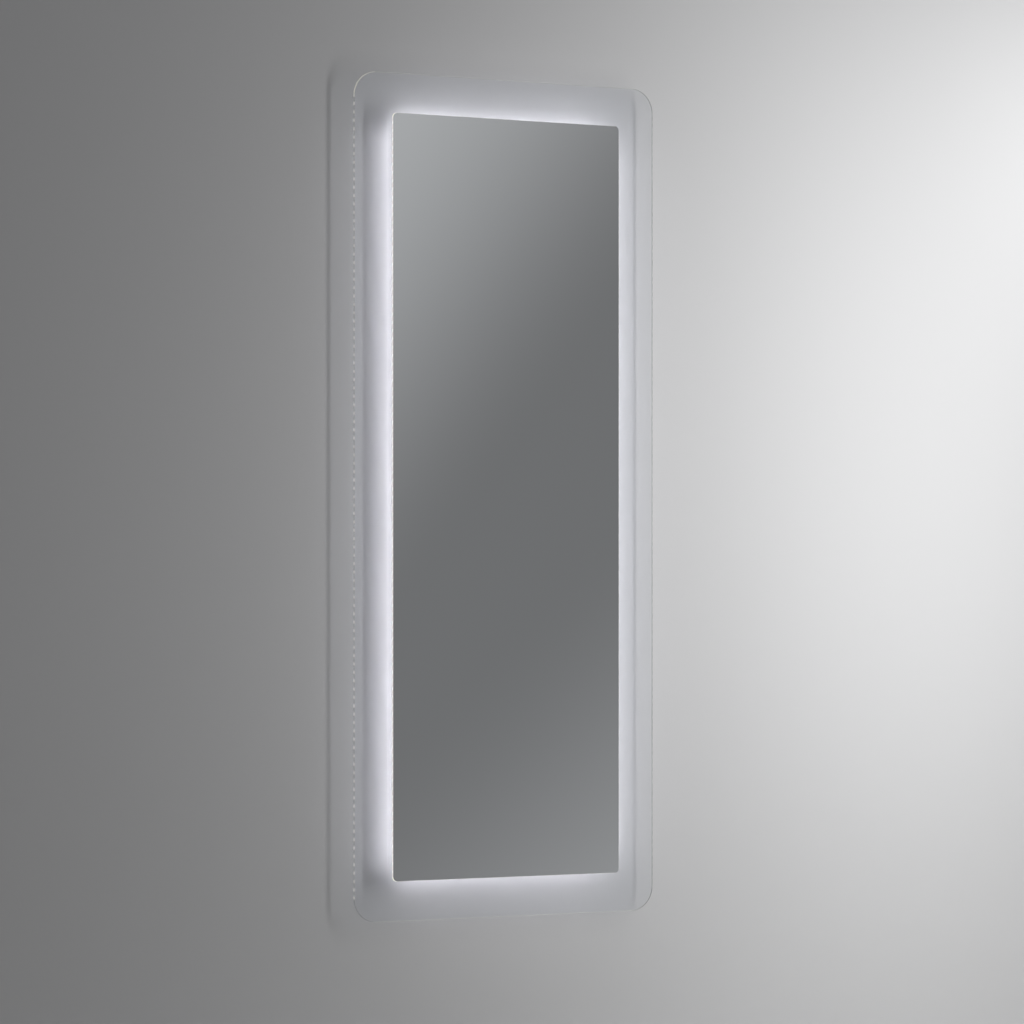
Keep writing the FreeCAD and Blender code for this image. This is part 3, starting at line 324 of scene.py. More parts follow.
@dataclass(frozen=True)
class PaintedGlintEdge:
    """A polished glass edge with painted light: a painted glint for each LED along the sides and a painted
    glowing line elsewhere, drawn as emission in the edge's finish.

    Seen from inside the glass the same part is a painted thin grey line. In shadows the whole edge is partly
    solid.
    """

    name: str
    low: Vector
    high: Vector
    radius: float
    light: PaintedEdgeLight
    # Colours of the painted glints and glowing lines, and the tint of the painted grey line seen from inside.
    painted_dot_colour: Colour = (1.0, 0.96, 0.93)
    painted_top_colour: Colour = (1.0, 0.98, 0.86)
    painted_low_colour: Colour = (0.94, 0.96, 0.80)
    glass_colour: Colour = (0.45, 0.43, 0.42)
    clear_tint: Colour = (0.97, 0.98, 0.98)
    painted_dark_line_tint: Colour = (0.42, 0.43, 0.43)
    shadow_share: float = 0.55
    fade: float = 0.01
    corner_blend: float = 0.15
    front_blend: Pair = (0.0006, -0.0002)

    def zones(self, book: MaterialBook, x: Signal, height: Signal) -> Tuple[Signal, Signal, Signal]:
        """The shares of the straight sides, the corners and the straight ends.

        Args:
            book: The material.
            x: The point's place across.
            height: Its height over the plate's middle.

        Returns:
            Three signals from 0 to 1.
        """
        half_width, half_height = self.high.x - self.radius, (self.high.z - self.low.z) / 2 - self.radius
        blend = self.radius * self.corner_blend
        beyond_end = (abs(x) - half_width).step(0.0, blend)
        beyond_side = (abs(height) - half_height).step(0.0, blend)
        return 1 - beyond_side, beyond_side * beyond_end, 1 - beyond_end

    def material(self) -> Material:
        """Writes the finish.

        Returns:
            The material.
        """
        book, light = MaterialBook(self.name), self.light
        x, y, z = book.axes(book.place())
        height = z - (self.low.z + self.high.z) / 2
        side, corner, end = self.zones(book, x, height)
        depth = self.low.y + (self.high.y - self.low.y) * light.front_share
        front = y.step(*(depth + shift for shift in self.front_blend))
        over, left = height.step(-self.fade, self.fade), x.step(self.fade, -self.fade)
        # Painted glints: emission at the LEDs' pitch along the sides, standing in for the LEDs seen in the
        # polished edge.
        wave = (height * (2 * math.pi / LED_PITCH)).maths("COSINE")
        unevenness = book.noise(book.stretched((3, 3, 11)), 1.0).step(0.3, 0.7, 0.8, 1.1)
        dots = wave.step(0.0, 0.9) * light.dot * unevenness
        arc = corner * left * height.step(-self.fade, self.fade, light.low_arc, 1.0)
        glow = (dots + light.side) * side + arc * light.arc + end * light.end
        end_colour = book.mix(over, self.painted_low_colour, self.painted_top_colour)
        colour = book.mix(side, end_colour, self.painted_dot_colour)
        scaled = {"Vector": colour, "Scale": glow}
        bright = book.node("ShaderNodeVectorMath", {"operation": "SCALE"}, scaled)
        # The painted light of the edge, an Emission shader.
        painted_glints = book.node("ShaderNodeEmission", None, {"Color": bright})
        glass = {"Base Color": (*self.glass_colour, 1.0), "Roughness": 0.12, "IOR": 1.5, "Coat Weight": 0.5}
        glass_with_painted_glints = book.node("ShaderNodeAddShader", None, {0: book.principled(glass), 1: painted_glints})
        clear = book.clear(self.clear_tint)
        on_side = wave.step(-0.6, 0.6, light.between, 1.0) * side
        solid = (on_side + arc + end * 0.5 + corner * 0.4) * light.body * front
        in_shadow = book.ray("Is Shadow Ray") * self.shadow_share
        outside = book.blend(solid.maths("MAXIMUM", in_shadow), clear, glass_with_painted_glints)
        # Painted grey line on the edge's front part, seen from inside the glass.
        grey = (1 - end * 0.85) * front
        inside = book.blend(grey.maths("MAXIMUM", in_shadow), clear, book.clear(self.painted_dark_line_tint))
        return book.done(book.blend(book.facing_away(), outside, inside))


@dataclass(frozen=True)
class Silvering:
    """The mirror's face: silver behind low-iron glass."""

    colour: Colour = (0.88, 0.90, 0.91)

    def material(self) -> Material:
        """Writes the finish.

        Returns:
            The material.
        """
        book = MaterialBook("silvered_face")
        ripple = book.noise(book.place(), 5.0, 1.0)
        values = {"Base Color": (*self.colour, 1.0), "Metallic": 1.0, "Roughness": 0.015}
        return book.painted({**values, "Normal": book.bump(ripple, 0.00002)})


@dataclass(frozen=True)
class BackingPaint:
    """The grey paint on the mirror's back, rolled on, with a few specks."""

    colour: Colour = (0.33, 0.35, 0.36)
    speck_colour: Colour = (0.2, 0.21, 0.22)

    def material(self) -> Material:
        """Writes the finish.

        Returns:
            The material.
        """
        book = MaterialBook("backing_paint")
        cloud = book.noise(book.stretched((6, 6, 1.2)), 2.0, 4.0)
        grain = book.noise(book.place(), 900.0, 2.0)
        speck = book.noise(book.place(), 140.0, 1.0).step(0.74, 0.78)
        tone = book.mix(cloud, shade(self.colour, 0.9), shade(self.colour, 1.12))
        tone = book.mix(speck, tone, self.speck_colour)
        rough = cloud.step(0, 1, 0.35, 0.5)
        return book.painted({"Base Color": tone, "Roughness": rough, "Normal": book.bump(grain, 0.0001)})


@dataclass(frozen=True)
class FoamTape:
    """White acrylic foam tape with fine cells."""

    colour: Colour = (0.80, 0.81, 0.81)

    def material(self) -> Material:
        """Writes the finish.

        Returns:
            The material.
        """
        book = MaterialBook("foam_tape")
        cells = book.noise(book.place(), 420.0, 3.0, 0.7)
        tone = book.mix(cells, shade(self.colour, 0.88), self.colour)
        return book.painted({"Base Color": tone, "Roughness": 0.85, "Normal": book.bump(cells, 0.0001)})


@dataclass(frozen=True)
class Extrusion:
    """Satin anodised aluminium with fine die lines along its length."""

    name: str
    run: Run
    colour: Colour = (0.72, 0.73, 0.75)

    def material(self) -> Material:
        """Writes the finish.

        Returns:
            The material.
        """
        book = MaterialBook(self.name)
        lines = book.noise(book.stretched(self.run.value), 1.0, 3.0, 0.6)
        cloud = book.noise(book.place(), 9.0, 2.0)
        tone = book.mix(lines * 0.6 + cloud * 0.4, shade(self.colour, 0.86), shade(self.colour, 1.1))
        values = {"Base Color": tone, "Metallic": 0.55, "Roughness": lines.step(0.2, 0.8, 0.30, 0.44)}
        return book.painted({**values, "Normal": book.bump(lines, 0.00006)})


@dataclass(frozen=True)
class ZincPlate:
    """Bright zinc plating on steel: a faint spangle, a few drag marks and duller patches."""

    name: str
    colour: Colour = (0.62, 0.64, 0.67)
    spangle: float = 160.0

    def material(self) -> Material:
        """Writes the finish.

        Returns:
            The material.
        """
        book = MaterialBook(self.name)
        flakes = {"Vector": book.place(), "Scale": self.spangle}
        grey = book.axes(book.node("ShaderNodeTexVoronoi", None, flakes, "Color"))[0]
        dull = book.noise(book.place(), 30.0, 4.0)
        marks = book.noise(book.stretched((30, 1200, 1200)), 1.0, 2.0).step(0.66, 0.72)
        tone = book.mix(grey, shade(self.colour, 0.9), shade(self.colour, 1.08))
        tone = book.mix(marks * 0.35, tone, shade(self.colour, 0.6))
        values = {"Base Color": tone, "Metallic": 0.6, "Roughness": grey * 0.08 + dull * 0.22 + 0.2}
        return book.painted({**values, "Normal": book.bump(dull, 0.0001)})


@dataclass(frozen=True)
class Moulded:
    """A moulded plastic or rubber with a fine spark-eroded grain and slightly uneven gloss."""

    name: str
    colour: Colour
    rough: float = 0.45
    grain: float = 700.0
    depth: float = 0.00012

    def material(self) -> Material:
        """Writes the finish.

        Returns:
            The material.
        """
        book = MaterialBook(self.name)
        grain = book.noise(book.place(), self.grain, 2.0)
        cloud = book.noise(book.place(), 25.0, 3.0)
        tone = book.mix(cloud, shade(self.colour, 0.92), shade(self.colour, 1.05))
        rough = cloud.step(0, 1, self.rough - 0.06, self.rough + 0.08)
        return book.painted({"Base Color": tone, "Roughness": rough, "Normal": book.bump(grain, self.depth)})


@dataclass(frozen=True)
class Glowing:
    """A lit surface: the chips' housings or their phosphor windows."""

    name: str
    colour: Colour
    strength: float

    def material(self) -> Material:
        """Writes the finish.

        Returns:
            The material.
        """
        book = MaterialBook(self.name)
        spread = book.noise(book.place(), 400.0, 1.0).step(0, 1, 0.85, 1.0)
        base = book.mix(spread, shade(self.colour, 0.9), self.colour)
        values = {"Base Color": base, "Roughness": 0.35}
        return book.painted({**values, "Emission Color": base, "Emission Strength": self.strength})


@dataclass(frozen=True)
class Laminate:
    """A lacquered circuit board with copper runs showing through the lacquer."""

    name: str
    ground: Colour
    copper: Colour
    scale: Place

    def material(self) -> Material:
        """Writes the finish.

        Returns:
            The material.
        """
        book = MaterialBook(self.name)
        pattern = {"Vector": book.stretched(self.scale), "Scale": 1.0, "Randomness": 0.6}
        settings = {"distance": "CHEBYCHEV", "feature": "F1"}
        runs = book.node("ShaderNodeTexVoronoi", settings, pattern, "Distance").step(0.36, 0.42)
        rough = book.noise(book.place(), 1800.0, 1.0).step(0, 1, 0.25, 0.4)
        tone = book.mix(runs, self.ground, self.copper)
        return book.painted({"Base Color": tone, "Roughness": rough, "Normal": book.bump(runs, 0.00004)})


@dataclass(frozen=True)
class WallPaint:
    """Matt paint on the wall. It is seen and shades from the front alone, so the back can be viewed."""

    colour: Colour = (0.600, 0.600, 0.604)

    def material(self) -> Material:
        """Writes the finish.

        Returns:
            The material.
        """
        book = MaterialBook("wall_paint")
        stipple = book.noise(book.place(), 260.0, 2.0)
        values = {"Base Color": (*self.colour, 1.0), "Roughness": 0.95, "Specular IOR Level": 0.1}
        paint = book.principled({**values, "Normal": book.bump(stipple, 0.00008)})
        unseen = book.facing_away().maths("MAXIMUM", book.ray("Is Shadow Ray"))
        return book.done(book.blend(unseen, paint, book.clear(WHITE)))


@dataclass(frozen=True)
class FloorFinish:
    """A pale, plain, slightly satin floor, which the camera sees a little paler than the room lights it."""

    colour: Colour = (0.72, 0.72, 0.71)
    lift: float = 0.5

    def material(self) -> Material:
        """Writes the finish.

        Returns:
            The material.
        """
        book = MaterialBook("pale_floor")
        cloud = book.noise(book.place(), 2.0, 3.0)
        tone = book.mix(cloud, shade(self.colour, 0.97), self.colour)
        paint = book.principled({"Base Color": tone, "Roughness": 0.6})
        pale = book.node("ShaderNodeEmission", None, {"Color": (*self.colour, 1.0)})
        return book.done(book.blend(book.ray("Is Camera Ray") * self.lift, paint, pale))


# ---------------- making and dressing pieces


def finished(name: str, mesh: bpy.types.ID, replaced: Sequence[str] = ()) -> Object:
    """Links a finished mesh or curve as a piece that hangs with the mirror.

    Args:
        name: The piece's name.
        mesh: Its mesh or curve, in place.
        replaced: The nodes that it stands for.

    Returns:
        The piece.
    """
    piece = link(name, mesh)
    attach(piece, HUNG)
    if replaced:
        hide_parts(*replaced)
    log.info("%s: made on %s", name, HUNG)
    return piece


def area_lamp(name: str, size: Pair, power: float) -> Object:
    """A rectangular lamp that neither the camera nor a mirror sees.

    Args:
        name: Its name.
        size: Its two sides.
        power: Its power in watts.

    Returns:
        The lamp.
    """
    light = bpy.data.lights.new(name, "AREA")
    light.shape = "RECTANGLE"
    light.size, light.size_y = size
    light.energy = power
    lamp = link(name, light)
    lamp.visible_camera = False
    lamp.visible_glossy = False
    return lamp


def dress(material: Material, *names: str) -> None:
    """Gives nodes that the scene keeps as they are their finish.

    Args:
        material: The finish.
        names: The nodes.
    """
    for name in names:
        slots = NODES[name].data.materials
        slots.clear()
        slots.append(material)
        log.info("%s: dressed with %s", name, material.name)


@dataclass(frozen=True)
class RoundedPlate:
    """A glass plate with rounded corners and a bevel round both faces."""

    low: Vector
    high: Vector
    radius: float
    arris: float
    steps: int = 20

    def outline(self, inset: float) -> List[Pair]:
        """The points round the plate, anticlockwise from the lower right.

        Args:
            inset: How far inside the full outline they lie.

        Returns:
            Pairs of x and z.
        """
        middle = (self.low + self.high) / 2
        reach_x = (self.high.x - self.low.x) / 2 - self.radius
        reach_z = (self.high.z - self.low.z) / 2 - self.radius
        points = []
        for quarter, (side, end) in enumerate(((1, -1), (1, 1), (-1, 1), (-1, -1))):
            for step in range(self.steps + 1):
                angle = math.radians(90) * (quarter - 1 + step / self.steps)
                x = middle.x + side * reach_x + (self.radius - inset) * math.cos(angle)
                z = middle.z + end * reach_z + (self.radius - inset) * math.sin(angle)
                points.append((x, z))
        return points

    def mesh(self, name: str, finishes: Sequence[Material]) -> Mesh:
        """The plate's mesh.

        Args:
            name: The mesh's name.
            finishes: Those of the face towards the room, the edge, and the face towards the wall.

        Returns:
            The mesh, with its faces pointing outwards.
        """
        shape = bmesh.new()
        levels = (
            (self.low.y, self.arris), (self.low.y + self.arris, 0.0),
            (self.high.y - self.arris, 0.0), (self.high.y, self.arris),
        )
        rings = [[shape.verts.new((x, y, z)) for x, z in self.outline(inset)] for y, inset in levels]
        shape.faces.new(rings[0]).material_index = 0
        shape.faces.new(reversed(rings[-1])).material_index = 2
        count = len(rings[0])
        for near, far in zip(rings, rings[1:]):
            for i in range(count):
                j = (i + 1) % count
                face = shape.faces.new((near[j], near[i], far[i], far[j]))
                face.material_index = 1
                face.smooth = True
        for ring in rings:
            for i in range(count):
                shape.edges.get((ring[i], ring[(i + 1) % count])).smooth = False
        mesh = bpy.data.meshes.new(name)
        shape.to_mesh(mesh)
        shape.free()
        for material in finishes:
            mesh.materials.append(material)
        return mesh


@dataclass(frozen=True)
class SoftenedNode:
    """A moulded node whose edges are rounded: a merged copy of its solid with a bevel."""

    node: str
    width: float
    slot: str
    segments: int = 2
    merge: float = 1e-6
    flat_angle: float = math.radians(1)
    sharp_angle: float = math.radians(50)

    def build(self, material: Material) -> Object:
        """Makes the piece that stands for the node.

        Args:
            material: Its finish.

        Returns:
            The piece.
        """
        shape = bmesh.new()
        shape.from_mesh(NODES[self.node].data)
        bmesh.ops.remove_doubles(shape, verts=shape.verts, dist=self.merge)
        bmesh.ops.dissolve_limit(
            shape, angle_limit=self.flat_angle, verts=shape.verts, edges=shape.edges, delimit={"NORMAL"}
        )
        mesh = bpy.data.meshes.new(self.node + "_soft")
        shape.to_mesh(mesh)
        shape.free()
        mesh.materials.clear()
        mesh.materials.append(material)
        piece = finished(self.node + "_soft", mesh, [self.node])
        bevel = piece.modifiers.new("rounding", "BEVEL")
        bevel.width = self.width
        bevel.segments = self.segments
        bevel.limit_method = "ANGLE"
        bevel.angle_limit = self.sharp_angle
        return piece


class Shape(Enum):
    """The small shapes that repeat, as mesh nodes with their unit sizes."""

    BLOCK = ("GeometryNodeMeshCube", {"Size": (1.0, 1.0, 1.0)})
    DISC = ("GeometryNodeMeshCylinder", {"Vertices": 16, "Radius": 0.5, "Depth": 1.0})


@dataclass(frozen=True)
class Row:
    """Copies of one small shape in a straight row, made by a Geometry Nodes tree."""

    name: str
    shape: Shape
    size: Place
    start: Vector
    step: Vector
    count: int
    turn: Euler
    slot: str

    def tree(self, material: Material) -> bpy.types.NodeTree:
        """The tree, with its sizes as named inputs.

        Args:
            material: The finish of the copies.

        Returns:
            The tree.
        """
        tree = bpy.data.node_groups.new(self.name + "_row", "GeometryNodeTree")
        for name in ("Count", "Start", "Step", "Size", "Turn"):
            kind = "NodeSocketInt" if name == "Count" else "NodeSocketVector"
            tree.interface.new_socket(name=name, in_out="INPUT", socket_type=kind)
        tree.interface.new_socket(name="Geometry", in_out="OUTPUT", socket_type="NodeSocketGeometry")
        book = NodeBook(tree)
        given = book.node("NodeGroupInput", None, None, "Count")
        line = book.node(
            "GeometryNodeMeshLine", {"mode": "OFFSET"},
            {"Count": given, "Start Location": given.other("Start"), "Offset": given.other("Step")},
        )
        kind, unit = self.shape.value
        single = book.node(kind, None, unit, "Mesh")
        turned = book.node("FunctionNodeEulerToRotation", None, {0: given.other("Turn")})
        copies = book.node(
            "GeometryNodeInstanceOnPoints", None,
            {"Points": line, "Instance": single, "Rotation": turned, "Scale": given.other("Size")},
        )
        solid = book.node("GeometryNodeRealizeInstances", None, {0: copies})
        smooth = {"Geometry": solid, "Shade Smooth": self.shape is Shape.DISC}
        shaded = book.node("GeometryNodeSetShadeSmooth", None, smooth)
        dressed = book.node("GeometryNodeSetMaterial", None, {"Geometry": shaded, "Material": material})
        book.node("NodeGroupOutput", None, {0: dressed})
        return tree

    def mesh(self, material: Material) -> Mesh:
        """The row as a plain mesh.

        Args:
            material: The finish of the copies.

        Returns:
            The mesh.
        """
        carrier = link(self.name + "_carrier", bpy.data.meshes.new(self.name + "_empty"))
        modifier = carrier.modifiers.new("row", "NODES")
        tree = self.tree(material)
        modifier.node_group = tree
        wanted = {
            "Count": self.count, "Start": tuple(self.start), "Step": tuple(self.step),
            "Size": self.size, "Turn": tuple(self.turn),
        }
        for item in tree.interface.items_tree:
            if item.in_out == "INPUT":
                modifier[item.identifier] = wanted[item.name]
        depsgraph = bpy.context.evaluated_depsgraph_get()
        mesh = bpy.data.meshes.new_from_object(carrier.evaluated_get(depsgraph))
        mesh.name = self.name
        bpy.data.objects.remove(carrier)
        return mesh

    def build(self, material: Material) -> Object:
        """Makes the row and links it as a piece."""
        return finished(self.name, self.mesh(material))


# ---------------- the mirror's sub-assemblies


@dataclass
class Glass:
    """The clear panel and the mirror plate bonded to its front."""

    panel_radius: float = 0.050
    panel_arris: float = 0.001
    # Strengths of the painted glow and glints on the panel's edge and on the mirror's edge.
    panel_painted_light: PaintedEdgeLight = PaintedEdgeLight(
        front_share=0.42, between=0.3, side=0.17, dot=0.22, arc=0.32, low_arc=0.0, end=0.30, body=0.8
    )
    mirror_radius: float = 0.010
    mirror_arris: float = 0.0005
    mirror_painted_light: PaintedEdgeLight = PaintedEdgeLight(
        front_share=1.2, between=1.0, side=0.70, dot=0.25, arc=0.8, low_arc=1.0, end=0.70, body=0.9
    )

    def build(self) -> None:
        """Makes both plates in place of their solids and dresses the tapes."""
        low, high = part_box("clear_panel")
        face = ClearFace().material()
        edge = PaintedGlintEdge("panel_edge_painted_glints", low, high, self.panel_radius, self.panel_painted_light).material()
        panel = RoundedPlate(low, high, self.panel_radius, self.panel_arris)
        mesh = panel.mesh("clear_panel_glass", (face, edge, face))
        finished("clear_panel_glass", mesh, ["clear_panel"])
        low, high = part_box("mirror_plate")
        edge = PaintedGlintEdge("mirror_edge_painted_glints", low, high, self.mirror_radius, self.mirror_painted_light).material()
        mirror = RoundedPlate(low, high, self.mirror_radius, self.mirror_arris, steps=10)
        mesh = mirror.mesh("mirror_plate_glass", (Silvering().material(), edge, BackingPaint().material()))
        finished("mirror_plate_glass", mesh, ["mirror_plate"])
        tapes = ("mirror_tapes", "side_rail_tapes", "end_rail_tapes", "cross_rail_tapes", "plate_tapes")
        dress(FoamTape().material(), *tapes)


class Side(Enum):
    """The four sides of the light: each one's turn from the left one, and its shares of both throws."""

    LEFT = ("left", 0, 0.95, 0.94)
    TOP = ("top", 90, 1.62, 0.45)
    RIGHT = ("right", 180, 1.17, 1.1)
    BOTTOM = ("bottom", 270, 1.22, 0.72)

    @property
    def label(self) -> str:
        """The side's word in the nodes' names."""
        return self.value[0]

    @property
    def turn(self) -> Matrix:
        """The side's turn about the Y axis, from the left one."""
        return Matrix.Rotation(math.radians(self.value[1]), 3, "Y")

    def share(self, spilt: bool) -> float:
        """How strong the side's spilt or direct light is, beside the others'."""
        return self.value[3 if spilt else 2]


@dataclass(frozen=True)
class Throw:
    """One way that the strips throw their light."""

    name: str
    tilt: float
    power: float
    lift: float


@dataclass
class LightRing:
    """The LED strips in their corner profiles, and the light that they give.

    Each side has two lamps: the direct light, which leaves the chips half towards the wall, and the spill
    that the panel's face and the mirror's back send outwards along the wall. A tilt is counted in degrees
    from straight outwards towards the wall, a power in watts per metre.
    """

    chip_height: float = 0.0016
    strip_thickness: float = 0.001
    chips_per_cut: int = 3
    window_size: Place = (0.0036, 0.0036, 0.0002)
    resistor_size: Place = (0.0016, 0.003, 0.0007)
    pad_size: Place = (0.0018, 0.003, 0.0001)
    pad_shift: float = 0.0028
    throws: Tuple[Throw, ...] = (Throw("direct", 45.0, 0.145, 0.0006), Throw("spill", -40.0, 0.33, 0.0025))
    colour: Colour = (0.955, 0.935, 1.0)
    lamp_width: float = 0.004
    overrun: float = 0.006

    def facing(self, side: Side) -> Vector:
        """Where the side's LEDs face: outwards and towards the wall."""
        return side.turn @ Vector((-1.0, 1.0, 0.0)).normalized()

    def along(self, side: Side) -> Vector:
        """The direction that the side's strip runs in."""
        return side.turn @ Vector((0.0, 0.0, 1.0))

    def reach(self, node: str, along: Vector) -> float:
        """The length of a node's box along a direction."""
        low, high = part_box(node)
        return abs((high - low).dot(along))

    def middle(self, node: str) -> Vector:
        """The middle of a node's box."""
        low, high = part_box(node)
        return (low + high) / 2

    def rows(self, side: Side, window: Material, part: Material, pad: Material) -> None:
        """The small parts on one strip: phosphor windows, resistors and solder pads.

        Args:
            side: The side.
            window: The finish of the chips' windows.
            part: The finish of the resistors.
            pad: The finish of the solder pads.
        """
        chips, strip = "led_chips_" + side.label, "led_strip_" + side.label
        facing, along = self.facing(side), self.along(side)
        across = facing.cross(along)
        turn = Matrix((across, along, facing)).transposed().to_euler()
        count = round(self.reach(chips, along) / LED_PITCH) + 1
        step = along * LED_PITCH
        start = self.middle(chips) + facing * (self.chip_height / 2) - step * ((count - 1) / 2)
        cuts = count // self.chips_per_cut
        cut_step = step * self.chips_per_cut
        board = self.middle(strip) + facing * (self.strip_thickness / 2)
        first = board - cut_step * ((cuts - 1) / 2)
        on_part, on_pad = facing * (self.resistor_size[2] / 2), facing * (self.pad_size[2] / 2)
        pads = first + cut_step - step / 2 + on_pad
        aside = across * self.pad_shift
        name = "phosphor_" + side.label
        Row(name, Shape.DISC, self.window_size, start, step, count, turn, "led_chip").build(window)
        for name, size, place, finish in (
            ("resistor_", self.resistor_size, first + step / 2 + on_part, part),
            ("pad_a_", self.pad_size, pads - aside, pad),
            ("pad_b_", self.pad_size, pads + aside, pad),
        ):
            row = Row(name + side.label, Shape.BLOCK, size, place, cut_step, cuts - 1, turn, "strip_board")
            row.build(finish)

    def lamp(self, side: Side, throw: Throw) -> Object:
        """One long thin lamp in front of a side's LEDs, which moves with the mirror.

        Args:
            side: The side.
            throw: The way that its light goes.

        Returns:
            The lamp.
        """
        along = self.along(side)
        tilt = math.radians(throw.tilt)
        aim = side.turn @ Vector((-math.cos(tilt), math.sin(tilt), 0.0))
        length = self.reach("led_strip_" + side.label, along) + 2 * self.overrun
        power = throw.power * length * side.share(throw.tilt < 0)
        lamp = area_lamp(f"led_{throw.name}_{side.label}", (length, self.lamp_width), power)
        lamp.data.color = self.colour
        lift = self.facing(side) * (self.chip_height / 2 + throw.lift)
        place = self.middle("led_chips_" + side.label) + lift
        turn = Matrix((along, (-aim).cross(along), -aim)).transposed().to_4x4()
        lamp.matrix_world = Matrix.Translation(place) @ turn
        lamp.visible_transmission = False
        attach(lamp, HUNG)
        return lamp

    def build(self) -> None:
        """Dresses the profiles, strips and chips, adds the small parts and lights them."""
        pale = (0.74, 0.75, 0.77)
        upright = Extrusion("profile_upright", Run.UPRIGHT, pale).material()
        level = Extrusion("profile_level", Run.LEVEL, pale).material()
        board = Laminate("strip_board", (0.50, 0.50, 0.49), (0.42, 0.40, 0.36), (260, 260, 60)).material()
        chip = Glowing("lit_chip", (0.95, 0.96, 1.0), 1.2).material()
        window = Glowing("phosphor_window", (1.0, 0.98, 0.90), 4.0).material()
        part = Moulded("resistor_body", (0.03, 0.03, 0.035), 0.35).material()
        pad = ZincPlate("solder_pad", (0.75, 0.62, 0.42), 900.0).material()
        for side in Side:
            dress(upright if side in (Side.LEFT, Side.RIGHT) else level, "led_profile_" + side.label)
            dress(board, "led_strip_" + side.label)
            dress(chip, "led_chips_" + side.label)
            self.rows(side, window, part, pad)
            for throw in self.throws:
                self.lamp(side, throw)
        dress(Moulded("link_sheath", (0.82, 0.82, 0.81), 0.4).material(), "strip_links")


@dataclass
class AluminiumFrame:
    """The rails, brackets, plugs, bumpers and hangers behind the glass."""

    edge_width: float = 0.0004

    def build(self) -> None:
        """Dresses the frame's nodes and rounds its moulded ones."""
        upright = Extrusion("rail_upright", Run.UPRIGHT).material()
        level = Extrusion("rail_level", Run.LEVEL).material()
        zinc = ZincPlate("zinc_sheet").material()
        screws = ZincPlate("zinc_screw", (0.68, 0.69, 0.71), 600.0).material()
        dress(upright, "frame_rail_left", "frame_rail_right")
        dress(level, "frame_rail_top", "frame_rail_bottom", "cross_rail_upper", "cross_rail_lower")
        dress(zinc, "corner_brackets", "hanger_left", "hanger_right")
        dress(screws, "bracket_screws", "hanger_screws")
        black = Moulded("black_plug", BLACK, 0.5).material()
        SoftenedNode("rail_end_caps", self.edge_width, "black_plastic").build(black)
        dress(Moulded("bumper_rubber", (0.025, 0.025, 0.025), 0.75, 400.0, 0.0002).material(), "wall_bumpers")


@dataclass
class WallFixings:
    """The two hooks on the wall."""

    def build(self) -> None:
        """Dresses the hooks."""
        zinc = ZincPlate("hook_zinc", (0.60, 0.62, 0.65), 120.0).material()
        dress(zinc, "wall_hook_left", "wall_hook_right")


@dataclass
class Equipment:
    """The equipment plate with the LED driver and the junction box."""

    rib_count: int = 16
    rib_pitch: float = 0.008
    rib_size: Place = (0.0022, 0.0006, 0.034)
    shell_edge: float = 0.0006
    lid_edge: float = 0.0007
    nut_edge: float = 0.0004

    def build(self) -> None:
        """Dresses the plate, rounds the housings and adds the cover's ribs."""
        zinc = ZincPlate("plate_zinc", (0.64, 0.65, 0.67), 90.0).material()
        screws = ZincPlate("small_screw_zinc", (0.70, 0.70, 0.72), 700.0).material()
        dress(zinc, "equipment_plate", "plate_angles_left", "plate_angles_right")
        dress(
            screws, "angle_plate_screws", "angle_rail_screws", "driver_screws", "junction_box_screws",
            "junction_lid_screws",
        )
        white = Moulded("driver_white", (0.62, 0.62, 0.60), 0.42).material()
        grey = Moulded("box_grey", (0.40, 0.41, 0.42), 0.48).material()
        black = Moulded("gland_black", BLACK, 0.5).material()
        for node, edge, slot, finish in (
            ("driver_case", self.shell_edge, "driver_shell", white),
            ("driver_cover", self.lid_edge, "driver_shell", white),
            ("junction_box", self.shell_edge, "grey_plastic", grey),
            ("junction_box_lid", self.lid_edge, "grey_plastic", grey),
            ("gland_nut", self.nut_edge, "black_plastic", black),
        ):
            SoftenedNode(node, edge, slot).build(finish)
        dress(black, "cable_gland")
        green = Laminate("circuit_board", (0.02, 0.16, 0.06), (0.10, 0.34, 0.12), (300, 300, 300))
        dress(green.material(), "driver_board")
        dress(Moulded("board_parts", (0.05, 0.05, 0.055), 0.4).material(), "driver_components")
        dress(Moulded("terminal_cream", (0.80, 0.79, 0.72), 0.35).material(), "terminal_block")
        low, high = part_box("driver_cover")
        middle = (low + high) / 2
        first_x = middle.x - (self.rib_count - 1) / 2 * self.rib_pitch
        first = Vector((first_x, high.y + self.rib_size[1] / 2, middle.z))
        ribs = Row(
            "cover_ribs", Shape.BLOCK, self.rib_size, first, Vector((self.rib_pitch, 0, 0)), self.rib_count,
            Euler((0, 0, 0)), "driver_shell",
        )
        ribs.build(white)


@dataclass(frozen=True)
class Lead:
    """A round lead on a smooth line through the equipment space; its length is that of its solid tube."""

    name: str
    slot: str
    radius: float
    length: float
    route: Sequence[Place]

    def build(self, material: Material) -> Object:
        """Args:
            material: The finish of its sheath.

        Returns:
            The lead.
        """
        curve = bpy.data.curves.new(self.name + "_line", "CURVE")
        curve.dimensions = "3D"
        curve.bevel_depth = self.radius
        curve.bevel_resolution = 4
        curve.resolution_u = 16
        curve.use_fill_caps = True
        spline = curve.splines.new("NURBS")
        spline.points.add(len(self.route) - 1)
        for point, place in zip(spline.points, self.route):
            point.co = (*place, 1.0)
        spline.order_u = 3
        spline.use_endpoint_u = True
        curve.materials.append(material)
        piece = finished(self.name + "_line", curve, [self.name])
        return piece


